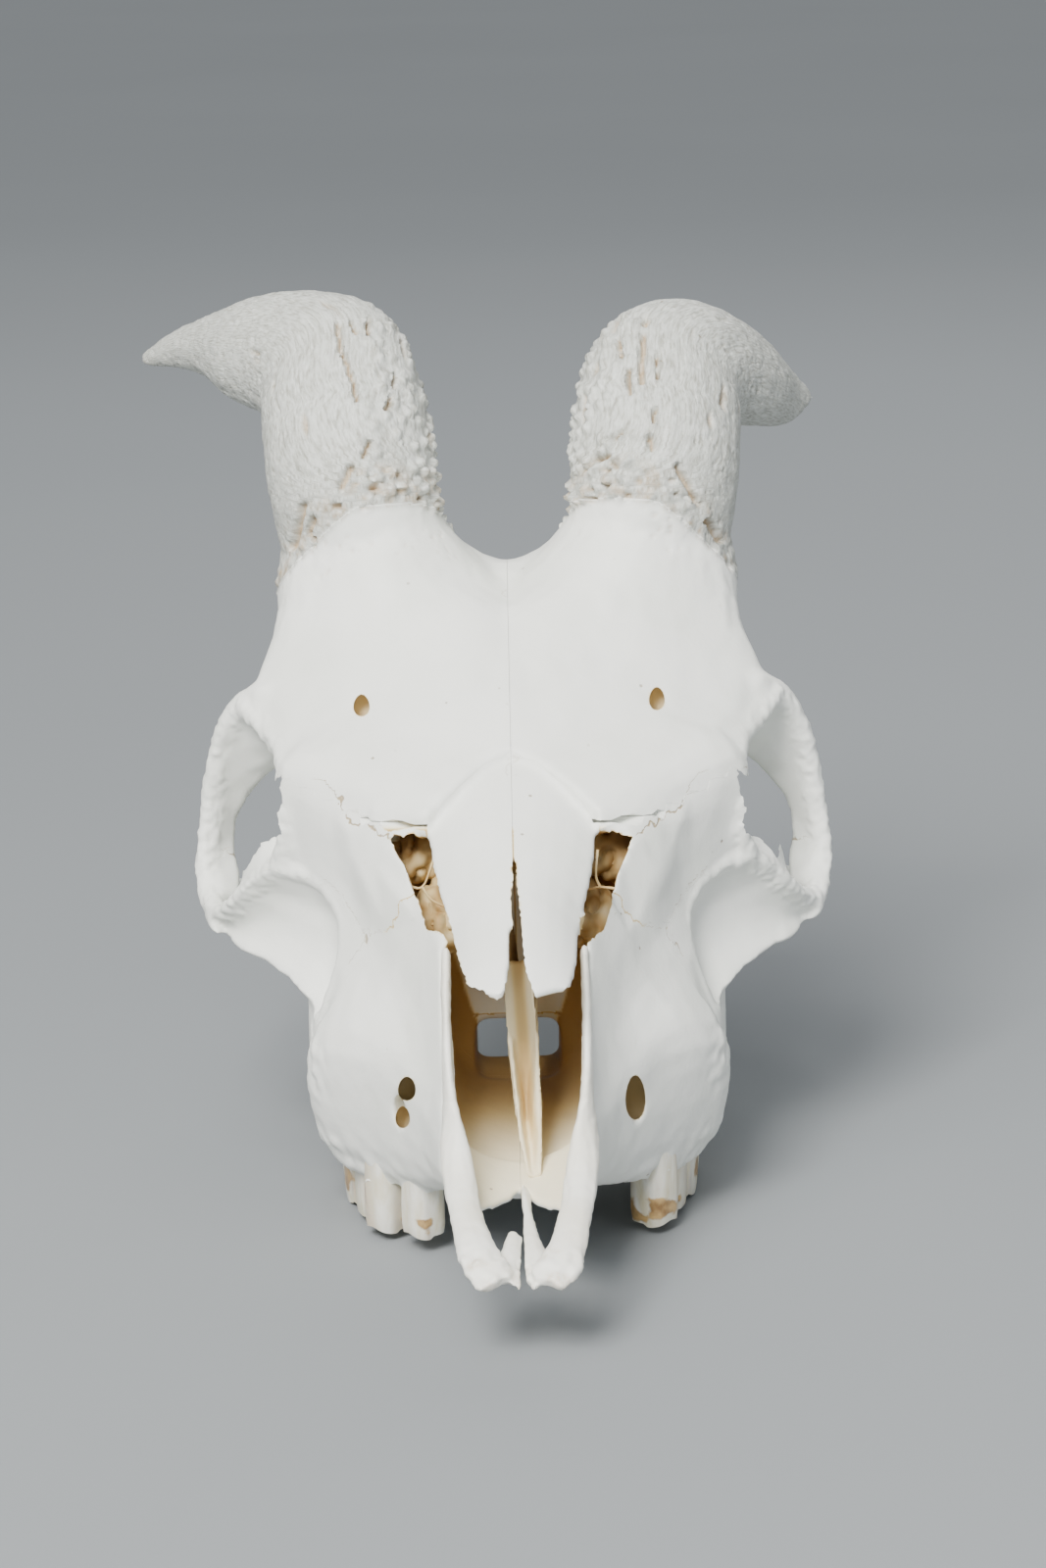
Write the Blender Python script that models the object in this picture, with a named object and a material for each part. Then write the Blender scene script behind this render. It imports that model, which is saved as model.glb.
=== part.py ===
"""Skull of a horned domestic goat without its lower jaw, life size, resting on its molars.

The skull is drawn in millimetres in its own frame: x from the midline to its left side, y from the
tip of the snout backwards, z up. Its nose is raised there. The last step turns it down by PITCH, so
that the molars and the paracondylar processes stand on the floor, and puts the origin below its middle.

The bones that fused in life are melted into one skin, thinned to a light mesh and parted again along
their sutures. The snout's thin bones are drawn on their own, and the rest is cut clear of them.
"""

import math
from collections import namedtuple

import bmesh
import bpy
from mathutils import Matrix, Vector

MM = 0.001
GAP = 0.3
WELD = 0.000002
VOXEL = 1.0
FINE_VOXEL = 0.55
RING_SIDES = 52
TUBE_SIDES = 16
SKULL_TRIANGLES = 7800
SNOUT_TRIANGLES = 340
PITCH = 10.5
MOLAR_FLOOR_Y = 108.0
MOLAR_FLOOR_Z = -9.0
MIDDLE_X = -5.9
MIDDLE_Y = 100.38
SIDES = (("left", 1), ("right", -1))

BONE = (0.86, 0.87, 0.83)
CORE = (0.62, 0.61, 0.56)
INNER = (0.66, 0.52, 0.33)


def clear_scene():
    for obj in list(bpy.data.objects):
        bpy.data.objects.remove(obj, do_unlink=True)


def new_object(name, mesh):
    obj = bpy.data.objects.new(name, mesh)
    bpy.context.scene.collection.objects.link(obj)
    return obj


def solid(name, points, faces):
    """A closed mesh from points in millimetres, with its faces turned outwards."""
    mesh = bpy.data.meshes.new(name)
    mesh.from_pydata([Vector(p) * MM for p in points], [], faces)
    form = bmesh.new()
    form.from_mesh(mesh)
    bmesh.ops.recalc_face_normals(form, faces=form.faces)
    form.to_mesh(mesh)
    form.free()
    return new_object(name, mesh)


def curve_through(points, samples):
    """Evenly timed samples of a smooth curve through a few points (Catmull-Rom)."""
    spots = [Vector(p) for p in points]
    ends = [2 * spots[0] - spots[1], *spots, 2 * spots[-1] - spots[-2]]
    run = []
    for i in range(samples):
        place = i * (len(spots) - 1) / (samples - 1)
        k = min(int(place), len(spots) - 2)
        t = place - k
        a, b, c, d = ends[k : k + 4]
        bend = (2 * a - 5 * b + 4 * c - d) * t**2 + (3 * b - a - 3 * c + d) * t**3
        run.append(0.5 * (2 * b + (c - a) * t + bend))
    return run


def loft(name, rings):
    """A closed solid through rings of equally many points, flat at both ends."""
    count = len(rings[0])
    points = [p for ring in rings for p in ring]
    faces = []
    for k in range(len(rings) - 1):
        low, high = k * count, (k + 1) * count
        for i in range(count):
            j = (i + 1) % count
            faces.append((low + i, low + j, high + j, high + i))
    faces.append(tuple(range(count)))
    faces.append(tuple(range(len(points) - count, len(points))))
    return solid(name, points, faces)


def across_ring(y, half):
    """A ring across the skull from half an outline of (x, z), from the midline above to that below."""
    run = curve_through([(x, z, 0) for x, z in half], RING_SIDES // 2 + 1)
    left = [(max(p.x, 0.0), y, p.y) for p in run]
    right = [(-x, y, z) for x, y, z in left[-2:0:-1]]
    return left + right


def across_loft(name, stations, between=3):
    """A loft through (y, half outline) stations, with smooth rings between them."""
    flat = [[y] + [value for point in half for value in point] for y, half in stations]
    rings = []
    count = (len(flat) - 1) * between + 1
    columns = [curve_through([(row[c], 0, 0) for row in flat], count) for c in range(len(flat[0]))]
    for k in range(count):
        values = [column[k].x for column in columns]
        rings.append(across_ring(values[0], list(zip(values[1::2], values[2::2]))))
    return loft(name, rings)


def tube(name, path, widths, depths, broad, sides=TUBE_SIDES, fineness=6):
    """An oval tube along a smooth path. broad is the way, or the ways, that its wide axis points."""
    samples = fineness * (len(path) - 1) + 1
    line = curve_through(path, samples)
    sizes = curve_through([(w, d, 0) for w, d in zip(widths, depths)], samples)
    ways = broad if isinstance(broad, list) else [broad, broad]
    ways = curve_through(ways, samples)
    rings = []
    for k, centre in enumerate(line):
        ahead = line[min(k + 1, samples - 1)] - line[max(k - 1, 0)]
        ahead.normalize()
        wide = (ways[k] - ways[k].dot(ahead) * ahead).normalized()
        deep = ahead.cross(wide)
        w, d = max(sizes[k].x, 0.3), max(sizes[k].y, 0.3)
        turn = [2 * math.pi * i / sides for i in range(sides)]
        rings.append([centre + wide * w * math.cos(a) + deep * d * math.sin(a) for a in turn])
    return loft(name, rings)


def blob(name, centre, radii, turn=(0, 0, 0), segments=28):
    """An egg shape, turned about its own centre by degrees about x, y and z."""
    mesh = bpy.data.meshes.new(name)
    form = bmesh.new()
    bmesh.ops.create_uvsphere(form, u_segments=segments, v_segments=segments // 2, radius=1.0)
    size = Matrix.Diagonal((*[r * MM for r in radii], 1))
    spin = Matrix.Identity(4)
    for angle, axis in zip(turn, "XYZ"):
        spin = Matrix.Rotation(math.radians(angle), 4, axis) @ spin
    place = Matrix.Translation(Vector(centre) * MM)
    bmesh.ops.transform(form, matrix=place @ spin @ size, verts=form.verts)
    form.to_mesh(mesh)
    form.free()
    return new_object(name, mesh)


def slab(name, outline, low, high, along="x"):
    """A bar with flat ends. Its outline is (y, z) when it runs along x, and (x, y) when along z."""
    def place(p, h):
        return (h, p[0], p[1]) if along == "x" else (p[0], p[1], h)
    return loft(name, [[place(p, low) for p in outline], [place(p, high) for p in outline]])


def plate(name, rows, wall):
    """A thin plate between a grid of points and the same grid moved by the vector wall."""
    count = len(rows[0])
    top = [Vector(p) for row in rows for p in row]
    under = [p + Vector(wall) for p in top]
    faces = []
    for r in range(len(rows) - 1):
        for c in range(count - 1):
            a = r * count + c
            corners = (a, a + 1, a + count + 1, a + count)
            for tri in ((corners[0], corners[1], corners[2]), (corners[0], corners[2], corners[3])):
                faces.append(tri)
                faces.append(tuple(len(top) + i for i in reversed(tri)))
    rim = [c for c in range(count)]
    rim += [r * count + count - 1 for r in range(1, len(rows))]
    rim += [(len(rows) - 1) * count + c for c in range(count - 2, -1, -1)]
    rim += [r * count for r in range(len(rows) - 2, 0, -1)]
    for i, a in enumerate(rim):
        b = rim[(i + 1) % len(rim)]
        faces.append((a, b, b + len(top), a + len(top)))
    return solid(name, top + under, faces)


def mirror_copy(obj):
    copy = new_object(obj.name + "_other", obj.data.copy())
    copy.data.transform(Matrix.Scale(-1, 4, (1, 0, 0)))
    copy.data.flip_normals()
    return copy


def both_sides(objs):
    return objs + [mirror_copy(o) for o in objs]


def remove(objs):
    for obj in objs:
        bpy.data.objects.remove(obj, do_unlink=True)


def settle(obj):
    """Applies the object's modifiers to its mesh."""
    graph = bpy.context.evaluated_depsgraph_get()
    mesh = bpy.data.meshes.new_from_object(obj.evaluated_get(graph))
    obj.modifiers.clear()
    obj.data = mesh
    return obj


def union(name, objs):
    """Joins closed shapes into one object with one Boolean on their collection."""
    group = bpy.data.collections.new(name + "_pieces")
    bpy.context.scene.collection.children.link(group)
    host, *others = objs
    for obj in others:
        bpy.context.scene.collection.objects.unlink(obj)
        group.objects.link(obj)
    joint = host.modifiers.new("join", "BOOLEAN")
    joint.operation = "UNION"
    joint.operand_type = "COLLECTION"
    joint.collection = group
    joint.solver = "MANIFOLD"
    settle(host)
    remove(others)
    bpy.data.collections.remove(group)
    host.name = name
    return host


def boolean(obj, tool, operation):
    cut = obj.modifiers.new("cut", "BOOLEAN")
    cut.operation = operation
    cut.object = tool
    cut.solver = "MANIFOLD"
    settle(obj)
    remove([tool])
    return obj


def melt(obj, voxel, smoothing):
    """Rounds the joins of a union by remaking its skin in small cells."""
    cells = obj.modifiers.new("melt", "REMESH")
    cells.mode = "VOXEL"
    cells.voxel_size = voxel * MM
    relax = obj.modifiers.new("relax", "SMOOTH")
    relax.factor = 0.5
    relax.iterations = smoothing
    return settle(obj)


def thin_out(obj, triangles):
    """Leaves about this many triangles on the object."""
    split = obj.modifiers.new("split", "TRIANGULATE")
    settle(obj)
    fewer = obj.modifiers.new("fewer", "DECIMATE")
    fewer.ratio = min(1.0, triangles / len(obj.data.polygons))
    fewer.use_collapse_triangulate = True
    return settle(obj)


def keep_largest(obj):
    """Keeps the object's largest closed surface and drops scraps."""
    form = bmesh.new()
    form.from_mesh(obj.data)
    bmesh.ops.remove_doubles(form, verts=form.verts, dist=WELD)
    bmesh.ops.triangulate(form, faces=form.faces)
    left = set(form.faces)
    best = []
    while left:
        todo = [left.pop()]
        island = []
        while todo:
            face = todo.pop()
            island.append(face)
            for edge in face.edges:
                for other in edge.link_faces:
                    if other in left:
                        left.discard(other)
                        todo.append(other)
        best = max(best, island, key=len)
    kept = set(best)
    bmesh.ops.delete(form, geom=[f for f in form.faces if f not in kept], context="FACES")
    form.to_mesh(obj.data)
    form.free()
    return obj


def grown(obj, by):
    """A copy of a closed shape with its faces moved outwards."""
    copy = new_object(obj.name + "_grown", obj.data.copy())
    form = bmesh.new()
    form.from_mesh(copy.data)
    form.normal_update()
    moves = [(v, v.normal * v.calc_shell_factor()) for v in form.verts]
    for v, move in moves:
        v.co += move * by * MM
    form.to_mesh(copy.data)
    form.free()
    return copy


def part_off(rest, name, region):
    """Cuts the bone that lies in a region away from the rest, with a gap between the two."""
    bone = new_object(name, rest.data.copy())
    boolean(rest, grown(region, GAP), "DIFFERENCE")
    boolean(bone, region, "INTERSECT")
    return keep_largest(bone)


def finish(obj, colour):
    material = bpy.data.materials.new(obj.name)
    material.use_nodes = True
    shader = material.node_tree.nodes["Principled BSDF"]
    shader.inputs["Base Color"].default_value = (*colour, 1)
    shader.inputs["Roughness"].default_value = 0.6
    obj.data.materials.clear()
    obj.data.materials.append(material)
    obj.data.shade_smooth()
    obj.data.set_sharp_from_angle(angle=math.radians(40))


# The face, at stations from the snout backwards: half outlines over the crown, the nasal bone's edge,
# the upper cheek, the cheek's wall, its widest point, the gum line and the palate's midline.
FACE = [
    (42, [(0, 66), (8, 63), (12.5, 50), (13.6, 42), (15.0, 34), (13.5, 25), (0, 22)]),
    (50, [(0, 70), (10, 66), (13, 54), (15, 45), (17.5, 35), (15.5, 21), (0, 21)]),
    (58, [(0, 73), (11, 68), (15, 57), (18, 48), (22, 37), (19, 16.5), (0, 20)]),
    (66, [(0, 76), (12.5, 70), (17.5, 60), (21, 50), (28.5, 38), (23.5, 12), (0, 19)]),
    (74, [(0, 79.5), (14.5, 73), (20.5, 63), (25, 52), (36, 36), (28.5, 8.5), (0, 18)]),
    (82, [(0, 83), (16, 76), (24, 64), (27.5, 54), (41.3, 32), (33, 6.5), (0, 17)]),
    (90, [(0, 86), (20, 80), (29, 68), (30, 57), (41, 33), (35, 5), (0, 16)]),
    (98, [(0, 88), (26, 83.5), (33, 73), (34, 60), (41, 38), (36.5, 4.5), (0, 15)]),
    (106, [(0, 92), (30, 86), (41, 79.5), (41.5, 64), (42, 48), (37, 5), (0, 15)]),
    (114, [(0, 96), (34, 88), (46.5, 81), (46.5, 68), (40.5, 54), (36, 8), (0, 16)]),
    (122, [(0, 99), (34, 88), (40, 80), (38, 66), (34, 56), (26, 22), (0, 24)]),
]
# The forehead up to the horns: midline, inner dome, boss, its side, the brow's edge, and below.
FOREHEAD = [
    (96, [(0, 86), (8, 86), (20, 83), (28, 79), (33, 73), (26, 66), (0, 64)]),
    (106, [(0, 90), (9, 90.5), (22, 87), (31, 83.5), (38, 78), (30, 70), (0, 67)]),
    (114, [(0, 94), (9, 95), (24, 91), (35, 86.5), (43.5, 80.5), (34, 72), (0, 69)]),
    (122, [(0, 98), (9, 99), (25, 95), (37, 89.5), (46.5, 82.5), (36, 74), (0, 71)]),
    (130, [(0, 101), (9, 103), (25, 101), (38, 94.5), (49, 85.5), (38, 77), (0, 73)]),
    (138, [(0, 103), (9, 106.5), (25, 107.5), (39, 99.5), (52, 87.5), (38, 79), (0, 75)]),
    (145, [(0, 102.8), (8, 107), (25, 115), (40, 106), (49, 92), (38, 80), (0, 76)]),
    (152, [(0, 102.2), (6, 107), (24, 120.5), (42, 112), (47, 95), (38, 81), (0, 76)]),
    (160, [(0, 101), (6, 106), (22, 121), (44, 112), (47, 97), (38, 82), (0, 76)]),
    (170, [(0, 101), (8, 105), (22, 116), (42, 108), (44, 96), (34, 82), (0, 74)]),
    (180, [(0, 97), (8, 99), (20, 102), (34, 98), (36, 88), (28, 78), (0, 70)]),
]
# The braincase and the core between the eye sockets: top, shoulder, widest, lower side and base.
BRAINCASE = [
    (104, [(0, 86), (14, 78), (20, 58), (15, 36), (0, 28)]),
    (118, [(0, 90), (14, 80), (18, 58), (14, 38), (0, 28)]),
    (132, [(0, 95), (14, 82), (17, 60), (13, 40), (0, 28.5)]),
    (142, [(0, 99), (17, 88), (22, 62), (15, 40), (0, 27)]),
    (152, [(0, 103), (22, 92), (29.5, 62), (19, 36), (0, 24)]),
    (164, [(0, 104), (24, 92), (33.5, 58), (21, 30), (0, 19)]),
    (176, [(0, 98), (25, 84), (34.5, 52), (22, 22), (0, 12)]),
    (188, [(0, 84), (24, 72), (33.5, 44), (22, 14), (0, 5)]),
    (197, [(0, 69), (22, 60), (31, 36), (20, 9), (0, 2)]),
    (203, [(0, 60), (17, 52), (25, 31), (15, 8), (0, 5)]),
]
# The hollow of the nose, inside the bone.
NOSE = [
    (6, [(0, 60), (8, 56), (10.5, 42), (9.5, 34), (0, 31)]),
    (26, [(0, 62), (9, 58), (11, 42), (10, 30), (0, 26.5)]),
    (42, [(0, 64), (9, 60), (11.2, 45), (11, 29), (0, 24.5)]),
    (54, [(0, 69), (9.5, 63), (13, 48), (13.5, 28), (0, 23.8)]),
    (66, [(0, 74), (11, 66), (17, 50), (15, 28), (0, 22.8)]),
    (78, [(0, 78), (18, 69), (22.5, 53), (14.5, 27), (0, 21.5)]),
    (90, [(0, 81), (22, 73), (24.5, 56), (12.5, 25), (0, 20)]),
    (98, [(0, 79), (19, 72), (21, 55), (10.5, 25), (0, 19.2)]),
    (103, [(0, 62), (9, 58), (11, 48), (9, 30), (0, 26)]),
]
# The ring round the orbit: from its front corner up, over the brow, down the bar and back along the cheek.
ORBIT_RIM = [
    (45.0, 109.5, 66), (44.8, 110.5, 73), (44.6, 116, 79.5), (46.5, 124, 81.5), (50.5, 132, 83.5),
    (54.2, 137.5, 83), (58.0, 139.5, 78), (60.1, 140.3, 72), (61.6, 140.3, 64), (62.8, 139.3, 56.3),
    (63.6, 137, 50.3), (63.2, 133, 45.3), (61.2, 126, 43.6), (58.2, 120.5, 46), (54.6, 116.5, 51),
    (50.6, 113.3, 56), (46.9, 111, 60.3), (45.0, 109.5, 66),
]
# The cheek's hollow face under the orbit: its sharp ridge above and its border below, from the outer
# corner forwards.
CHEEK_RIDGE = [
    (61.6, 124, 43.2), (60.2, 120.5, 44.8), (56, 116, 49.8), (51, 112, 56.2), (46.5, 109, 60.3),
    (41, 105.5, 60.8),
    (36.5, 101.5, 58.6), (34.2, 97.5, 54.3), (34.4, 94.2, 49), (36.6, 91.5, 43), (39, 89, 37.5),
]
CHEEK_BORDER = [
    (61.2, 120.5, 40.4), (59.6, 116.8, 39.8), (56.6, 113.8, 39.6), (53, 111.3, 39.8),
    (49.5, 107.3, 39.2), (46.5, 103.6, 38.5),
    (44, 99.8, 38), (42.6, 96.3, 37.6), (41.6, 93, 37), (41, 90, 36.2), (40.4, 87.5, 35),
]
CHEEK_SINK = 4.2
CHEEK_WALL = 4.2
FREE_SPACE = 12.0
CHEEK_OUT = Vector((0.67, -0.67, 0.33)).normalized()
ORBIT_CENTRE = Vector((53.5, 125.5, 64.0))
ORBIT_OUT = Vector((0.86, -0.46, 0.20)).normalized()


def cheek_face(wall):
    """The hollow face of the cheek below the orbit: it sinks between its ridge and its border.

    A negative wall gives the bone behind that face, and a positive one the free space in front of it.
    """
    ridge = curve_through(CHEEK_RIDGE, 21)
    border = curve_through(CHEEK_BORDER, 21)
    rows = []
    for k in range(7):
        t = k / 6
        sink = CHEEK_OUT * CHEEK_SINK * 4 * t * (1 - t)
        rows.append([a * (1 - t) + b * t - sink for a, b in zip(ridge, border)])
    return plate("cheek_face", rows, CHEEK_OUT * wall)


def core_forms():
    """Lumps and processes of the left side that the orbit is hollowed from or that lie clear of it."""
    return [
        blob("molar_tuber", (34, 111, 14), (7.5, 9, 11)),
        blob("joint_surface", (43, 166, 22), (8, 6.5, 4), (0, 15, 0)),
        tube("paracondylar", [(25, 189, 24), (26, 193, 8), (24.5, 192, -8), (22, 189, -26)],
             [7.5, 6.5, 5, 2.6], [4.5, 3, 2.4, 1.9], (0.3, 1, 0)),
        blob("condyle", (11.5, 199.5, 3), (7.5, 8.5, 9.5), (25, 0, -15)),
        blob("bulla", (18.5, 178, 1), (6.5, 10, 9.5), (0, 0, -15)),
        tube("ear_canal", [(22, 178, 18), (32, 181, 23),
                           (39.5, 183, 26)], [6, 5, 4.4], [6, 5, 4.4], (0, 0, 1)),
        tube("nuchal_crest", [(0, 205, 65), (12, 204, 63), (22, 201, 57), (30, 196, 48), (34, 190, 36)],
             [4, 4, 3.5, 3, 3], [2] * 5, (0, 0.8, 0.5)),
        tube("temporal_ridge", [(22, 170, 94), (25.5, 180, 82.5), (27.5, 188, 69), (29, 195, 54)],
             [2.2] * 4, [2.2] * 4, (0, 0, 1)),
        slab("pterygoid_plate", [(98, 17), (112, 9), (124, 3), (136, -2), (146, -4), (150, 2),
                                 (152, 20), (146, 30),
                                 (100, 32)], 8.6, 11.2),
    ]


def rim_forms():
    """The orbit's rim, its bar, the cheek and the arch behind it on the left side."""
    return [
        tube("orbit_rim", ORBIT_RIM, [2.6] * 18, [2.1] * 18, ORBIT_OUT[:], fineness=4),
        tube("postorbital_bar", [(46, 132, 83.5), (49.5, 137, 80.5), (52.6, 140, 75.5), (56.4, 142.2, 68.5),
                                 (59.2, 142.4, 62), (61.0, 141.6, 55.6), (61.2, 140, 50.3), (60.8, 136.5, 46),
                                 (60.5, 131, 43.5)],
             [8, 9, 8.9, 7.1, 5.2, 4.3, 4.6, 4.6, 4.4], [2.8, 2.4, 2.2, 2.0, 1.8, 1.7, 1.7, 1.9, 2.0],
             [(-0.6, -0.4, -0.7), (-0.6, 0.1, -0.8), (-0.8, 0.3, -0.5), (-0.85, 0.45, -0.1),
              (-0.85, 0.5, 0)]),
        cheek_face(-CHEEK_WALL),
        tube("cheek_corner", [(58, 118, 41.8), (60.4, 122, 42.2), (61.6, 127, 42.6), (61.6, 134, 43.6)],
             [1.8, 2.6, 3, 3.6], [1.8, 2.2, 2.2, 2.2], (0, -0.3, 1)),
        tube("zygomatic_arch", [(61.2, 131, 44.5), (60.5, 143, 38), (58.5, 154, 33), (53.5, 164.5, 29),
                                (44, 172, 28), (33, 177, 32)],
             [4.6, 4.2, 4.2, 4.4, 6, 8], [2.2, 1.9, 1.9, 2.6, 4.5, 6], (0, 0.1, 1)),
        blob("lacrimal_bulla", (45.5, 119.5, 51.5), (10.0, 9.5, 14.0), (0, 0, 20)),
    ]


# The horn cores' middle lines. They differ, as the left one bends lower. Half widths and depths along them.
HORN_LEFT = [
    (29.5, 159, 99), (30.5, 163, 120), (32.0, 173, 131.5), (34.5, 182, 137.2), (41.5, 192, 136.8),
    (51.5, 202, 129.6), (59.6, 212, 121.4), (66.0, 219, 115.4), (73.4, 227.5, 108.6),
]
HORN_RIGHT = [
    (-29.5, 159, 99), (-31, 163, 120), (-33.1, 173, 132.5), (-35.8, 182, 140.2), (-43.5, 192, 140.4),
    (-53.5, 202, 138.4), (-62.5, 212, 136.2), (-69.8, 219, 133.2), (-78.8, 225, 128.8),
]
HORN_WIDE = [15, 17.6, 17.4, 16.4, 14.4, 11.4, 6.8, 4.4, 1.6]
HORN_DEEP = [12, 15.5, 14.5, 12.8, 11, 8.6, 5.4, 3.8, 1.4]


def horn(side, path):
    ways = [(side, 0.25, -0.1), (side, 0.25, -0.2), (0.8 * side, 0.1, -0.6), (0.4 * side, 0, -0.9),
            (0.2 * side, 0, -1)]
    return tube("horn", path, HORN_WIDE, HORN_DEEP, ways, sides=28)


def horn_base(x, y):
    """The height of the line where a horn core grows from the forehead. It falls away outwards."""
    return 121.0 - 0.195 * (x - 31) - 0.65 * max(0, x - 31) - 0.805 * (y - 149.5)


def horn_region(side):
    """The space of one horn core, above its folded base."""
    axis = Vector((0.15 * side, 0.62, 0.77)).normalized()
    base = Vector((31 * side, 149.5, 119.5))
    wide = Vector((side, 0, 0))
    wide = (wide - wide.dot(axis) * axis).normalized()
    deep = axis.cross(wide)
    turn = [2 * math.pi * i / 24 for i in range(24)]
    rings = []
    for radius in (0.5, 24):
        plan = [(31 + radius * math.cos(a), 153 + radius * math.sin(a)) for a in turn]
        rings.append([Vector((side * x, y, horn_base(x, y))) for x, y in plan])
    for height, radius in ((34, 50), (120, 110)):
        around = [wide * math.cos(a) + deep * math.sin(a) * side for a in turn]
        rings.append([base + axis * height + way * radius for way in around])
    return loft("horn_region", rings)


def snout_bars(side):
    """A premaxilla: its nasal strip, its body and its palatine process, broken short on the right."""
    path = [(13.0, 62, 65.5), (13.2, 54, 57), (13.1, 46, 48.5), (12.6, 40, 40.5), (11.6, 33.5, 34.0),
            (10.6, 26, 31.2), (9.4, 18, 30.4), (8.2, 11.5, 29.6), (6.4, 6.5, 28.6), (4.6, 3, 27.4)]
    ways = [(0, 0.73, -0.68), (0, 0.73, -0.68), (0.25, 0.7, -0.66), (0.9, 0.2, -0.2), (1, 0, 0), (1, 0, 0),
            (1, 0, 0), (1, -0.1, 0)]
    strip = tube("strip", path, [2.2, 2.6, 2.8, 3.0, 3.2, 3.2, 3.3, 3.8, 4.4, 3.4],
                 [0.9, 0.95, 1.0, 1.5, 2.3, 2.4, 2.1, 1.9, 1.6, 1.2], ways)
    if side > 0:
        path = [(0.9, 41, 25.0), (1.3, 30, 25.8), (2.1, 20, 26.4), (3.2, 11, 27), (4.4, 5, 27.4)]
        process = tube("process", path, [1.0, 1.1, 1.5, 2.0, 2.4], [0.9, 0.9, 1.0, 1.1, 1.2], (1, 0, 0))
    else:
        path = [(1.5, 22.5, 26.8), (2.3, 14, 27), (3.6, 5, 27.3)]
        process = tube("process", path, [1.1, 1.7, 2.2], [0.8, 1.0, 1.2], (1, 0, 0))
    bars = union("bars", [strip, process])
    if side < 0:
        mirrored = mirror_copy(bars)
        remove([bars])
        bars = mirrored
    melt(bars, FINE_VOXEL, 3)
    return thin_out(bars, SNOUT_TRIANGLES)


NASAL_WALL = 1.8
# Along the nasal bones: y, the height of their roof's crown, their outer edge, and how far that edge drops.
NASAL = [
    (37, 67.6, 9.4, 2.0), (42, 69.6, 10.0, 2.4), (50, 72.4, 11.2, 5.0), (58, 74.6, 11.8, 6.6),
    (66, 76.8, 12.2, 7.8), (74, 79.0, 14.2, 6.8), (82, 81.2, 15.6, 6.0), (90, 83.6, 16.2, 5.8),
    (102, 87.4, 16.2, 5.4),
]


def nasal_height(x, y):
    """The height of the nasal bones' arched roof over a place."""
    for a, b in zip(NASAL, NASAL[1:]):
        if y <= b[0] or b is NASAL[-1]:
            t = (y - a[0]) / (b[0] - a[0])
            crown, edge, drop = [a[i] + (b[i] - a[i]) * t for i in (1, 2, 3)]
            return crown - drop * (abs(x) / edge) ** 2
    return NASAL[-1][1]


def nasal_bone(side):
    """One nasal bone, a long arched plate with a notched tip. The gap to its twin widens forwards."""
    front = curve_through([(1.6, 40.5, 0), (3.0, 38.2, 0), (6.3, 40.4, 0), (9.9, 42.2, 0)], 5)
    back = curve_through([(0.3, 100.6, 0), (5, 98.4, 0), (10, 94, 0), (15.9, 88.4, 0)], 5)
    edges = curve_through([(a[2], a[0], 0) for a in NASAL], 40)
    rows = []
    for k in range(10):
        t = k / 9
        row = []
        for c in range(5):
            u = c / 4
            y = front[c].y + (back[c].y - front[c].y) * t
            outer = min(edges, key=lambda p: abs(p.y - y)).x
            inner = 0.2 + 1.3 * max(0.0, (72 - y) / 32) ** 1.3
            x = inner + (outer - inner) * u
            if k == 0:
                x = front[c].x
            row.append((side * x, y, nasal_height(x, y)))
        rows.append(row)
    return plate("nasal", rows, (0, 0, -NASAL_WALL))


# Along the vomer: y, its foot, its top, and its half width there.
VOMER = [(44, 25.6, 26.6, 1.6), (50, 26.5, 32, 2.3), (58, 27, 44, 2.9), (66, 28, 52, 3.1), (84, 30, 56, 3),
         (97, 32, 58, 2.6)]
VOMER_WALL = 0.8


def vomer():
    """The vomer, a long thin trough that stands on the nose's floor and leans to the left in front."""
    rings = []
    for y, low, high, spread in VOMER:
        middle = 1.0 + 1.6 * max(0.0, (62 - y) / 18)
        inner = spread - VOMER_WALL
        outline = [(-spread, high), (-inner, high), (0, low + 0.35 * (high - low)), (inner, high),
                   (spread, high),
                   (1.0, low), (-1.0, low)]
        rings.append([(middle + x, y, z) for x, z in outline])
    return loft("vomer", rings)


# Cheek teeth: place on the row, length along it, width, how many lobes, turn, and height off the floor.
Tooth = namedtuple("Tooth", "name x y length width lobes turn lift")
TEETH = [
    Tooth("p3", 19.2, 64.0, 7.5, 7.5, 1, 35, 3.0),
    Tooth("p4", 26.2, 72.0, 8.0, 8.5, 1, 38, 1.5),
    Tooth("m1", 28.0, 82.0, 11.5, 9.5, 2, 18, 1.3),
    Tooth("m2", 30.6, 93.5, 13.5, 10, 2, 8, 0.0),
    Tooth("m3", 31.8, 107.5, 15.5, 9.5, 2, -2, 0.0),
]
LOST_ON_THE_LEFT = ("p3",)
ROOT_TOP = 17.0
TOOTH_SIDES = 16


def floor_height(y):
    """The floor's height, in the skull's own frame, below a place on the midline."""
    return MOLAR_FLOOR_Z - math.tan(math.radians(PITCH)) * (y - MOLAR_FLOOR_Y)


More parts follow.
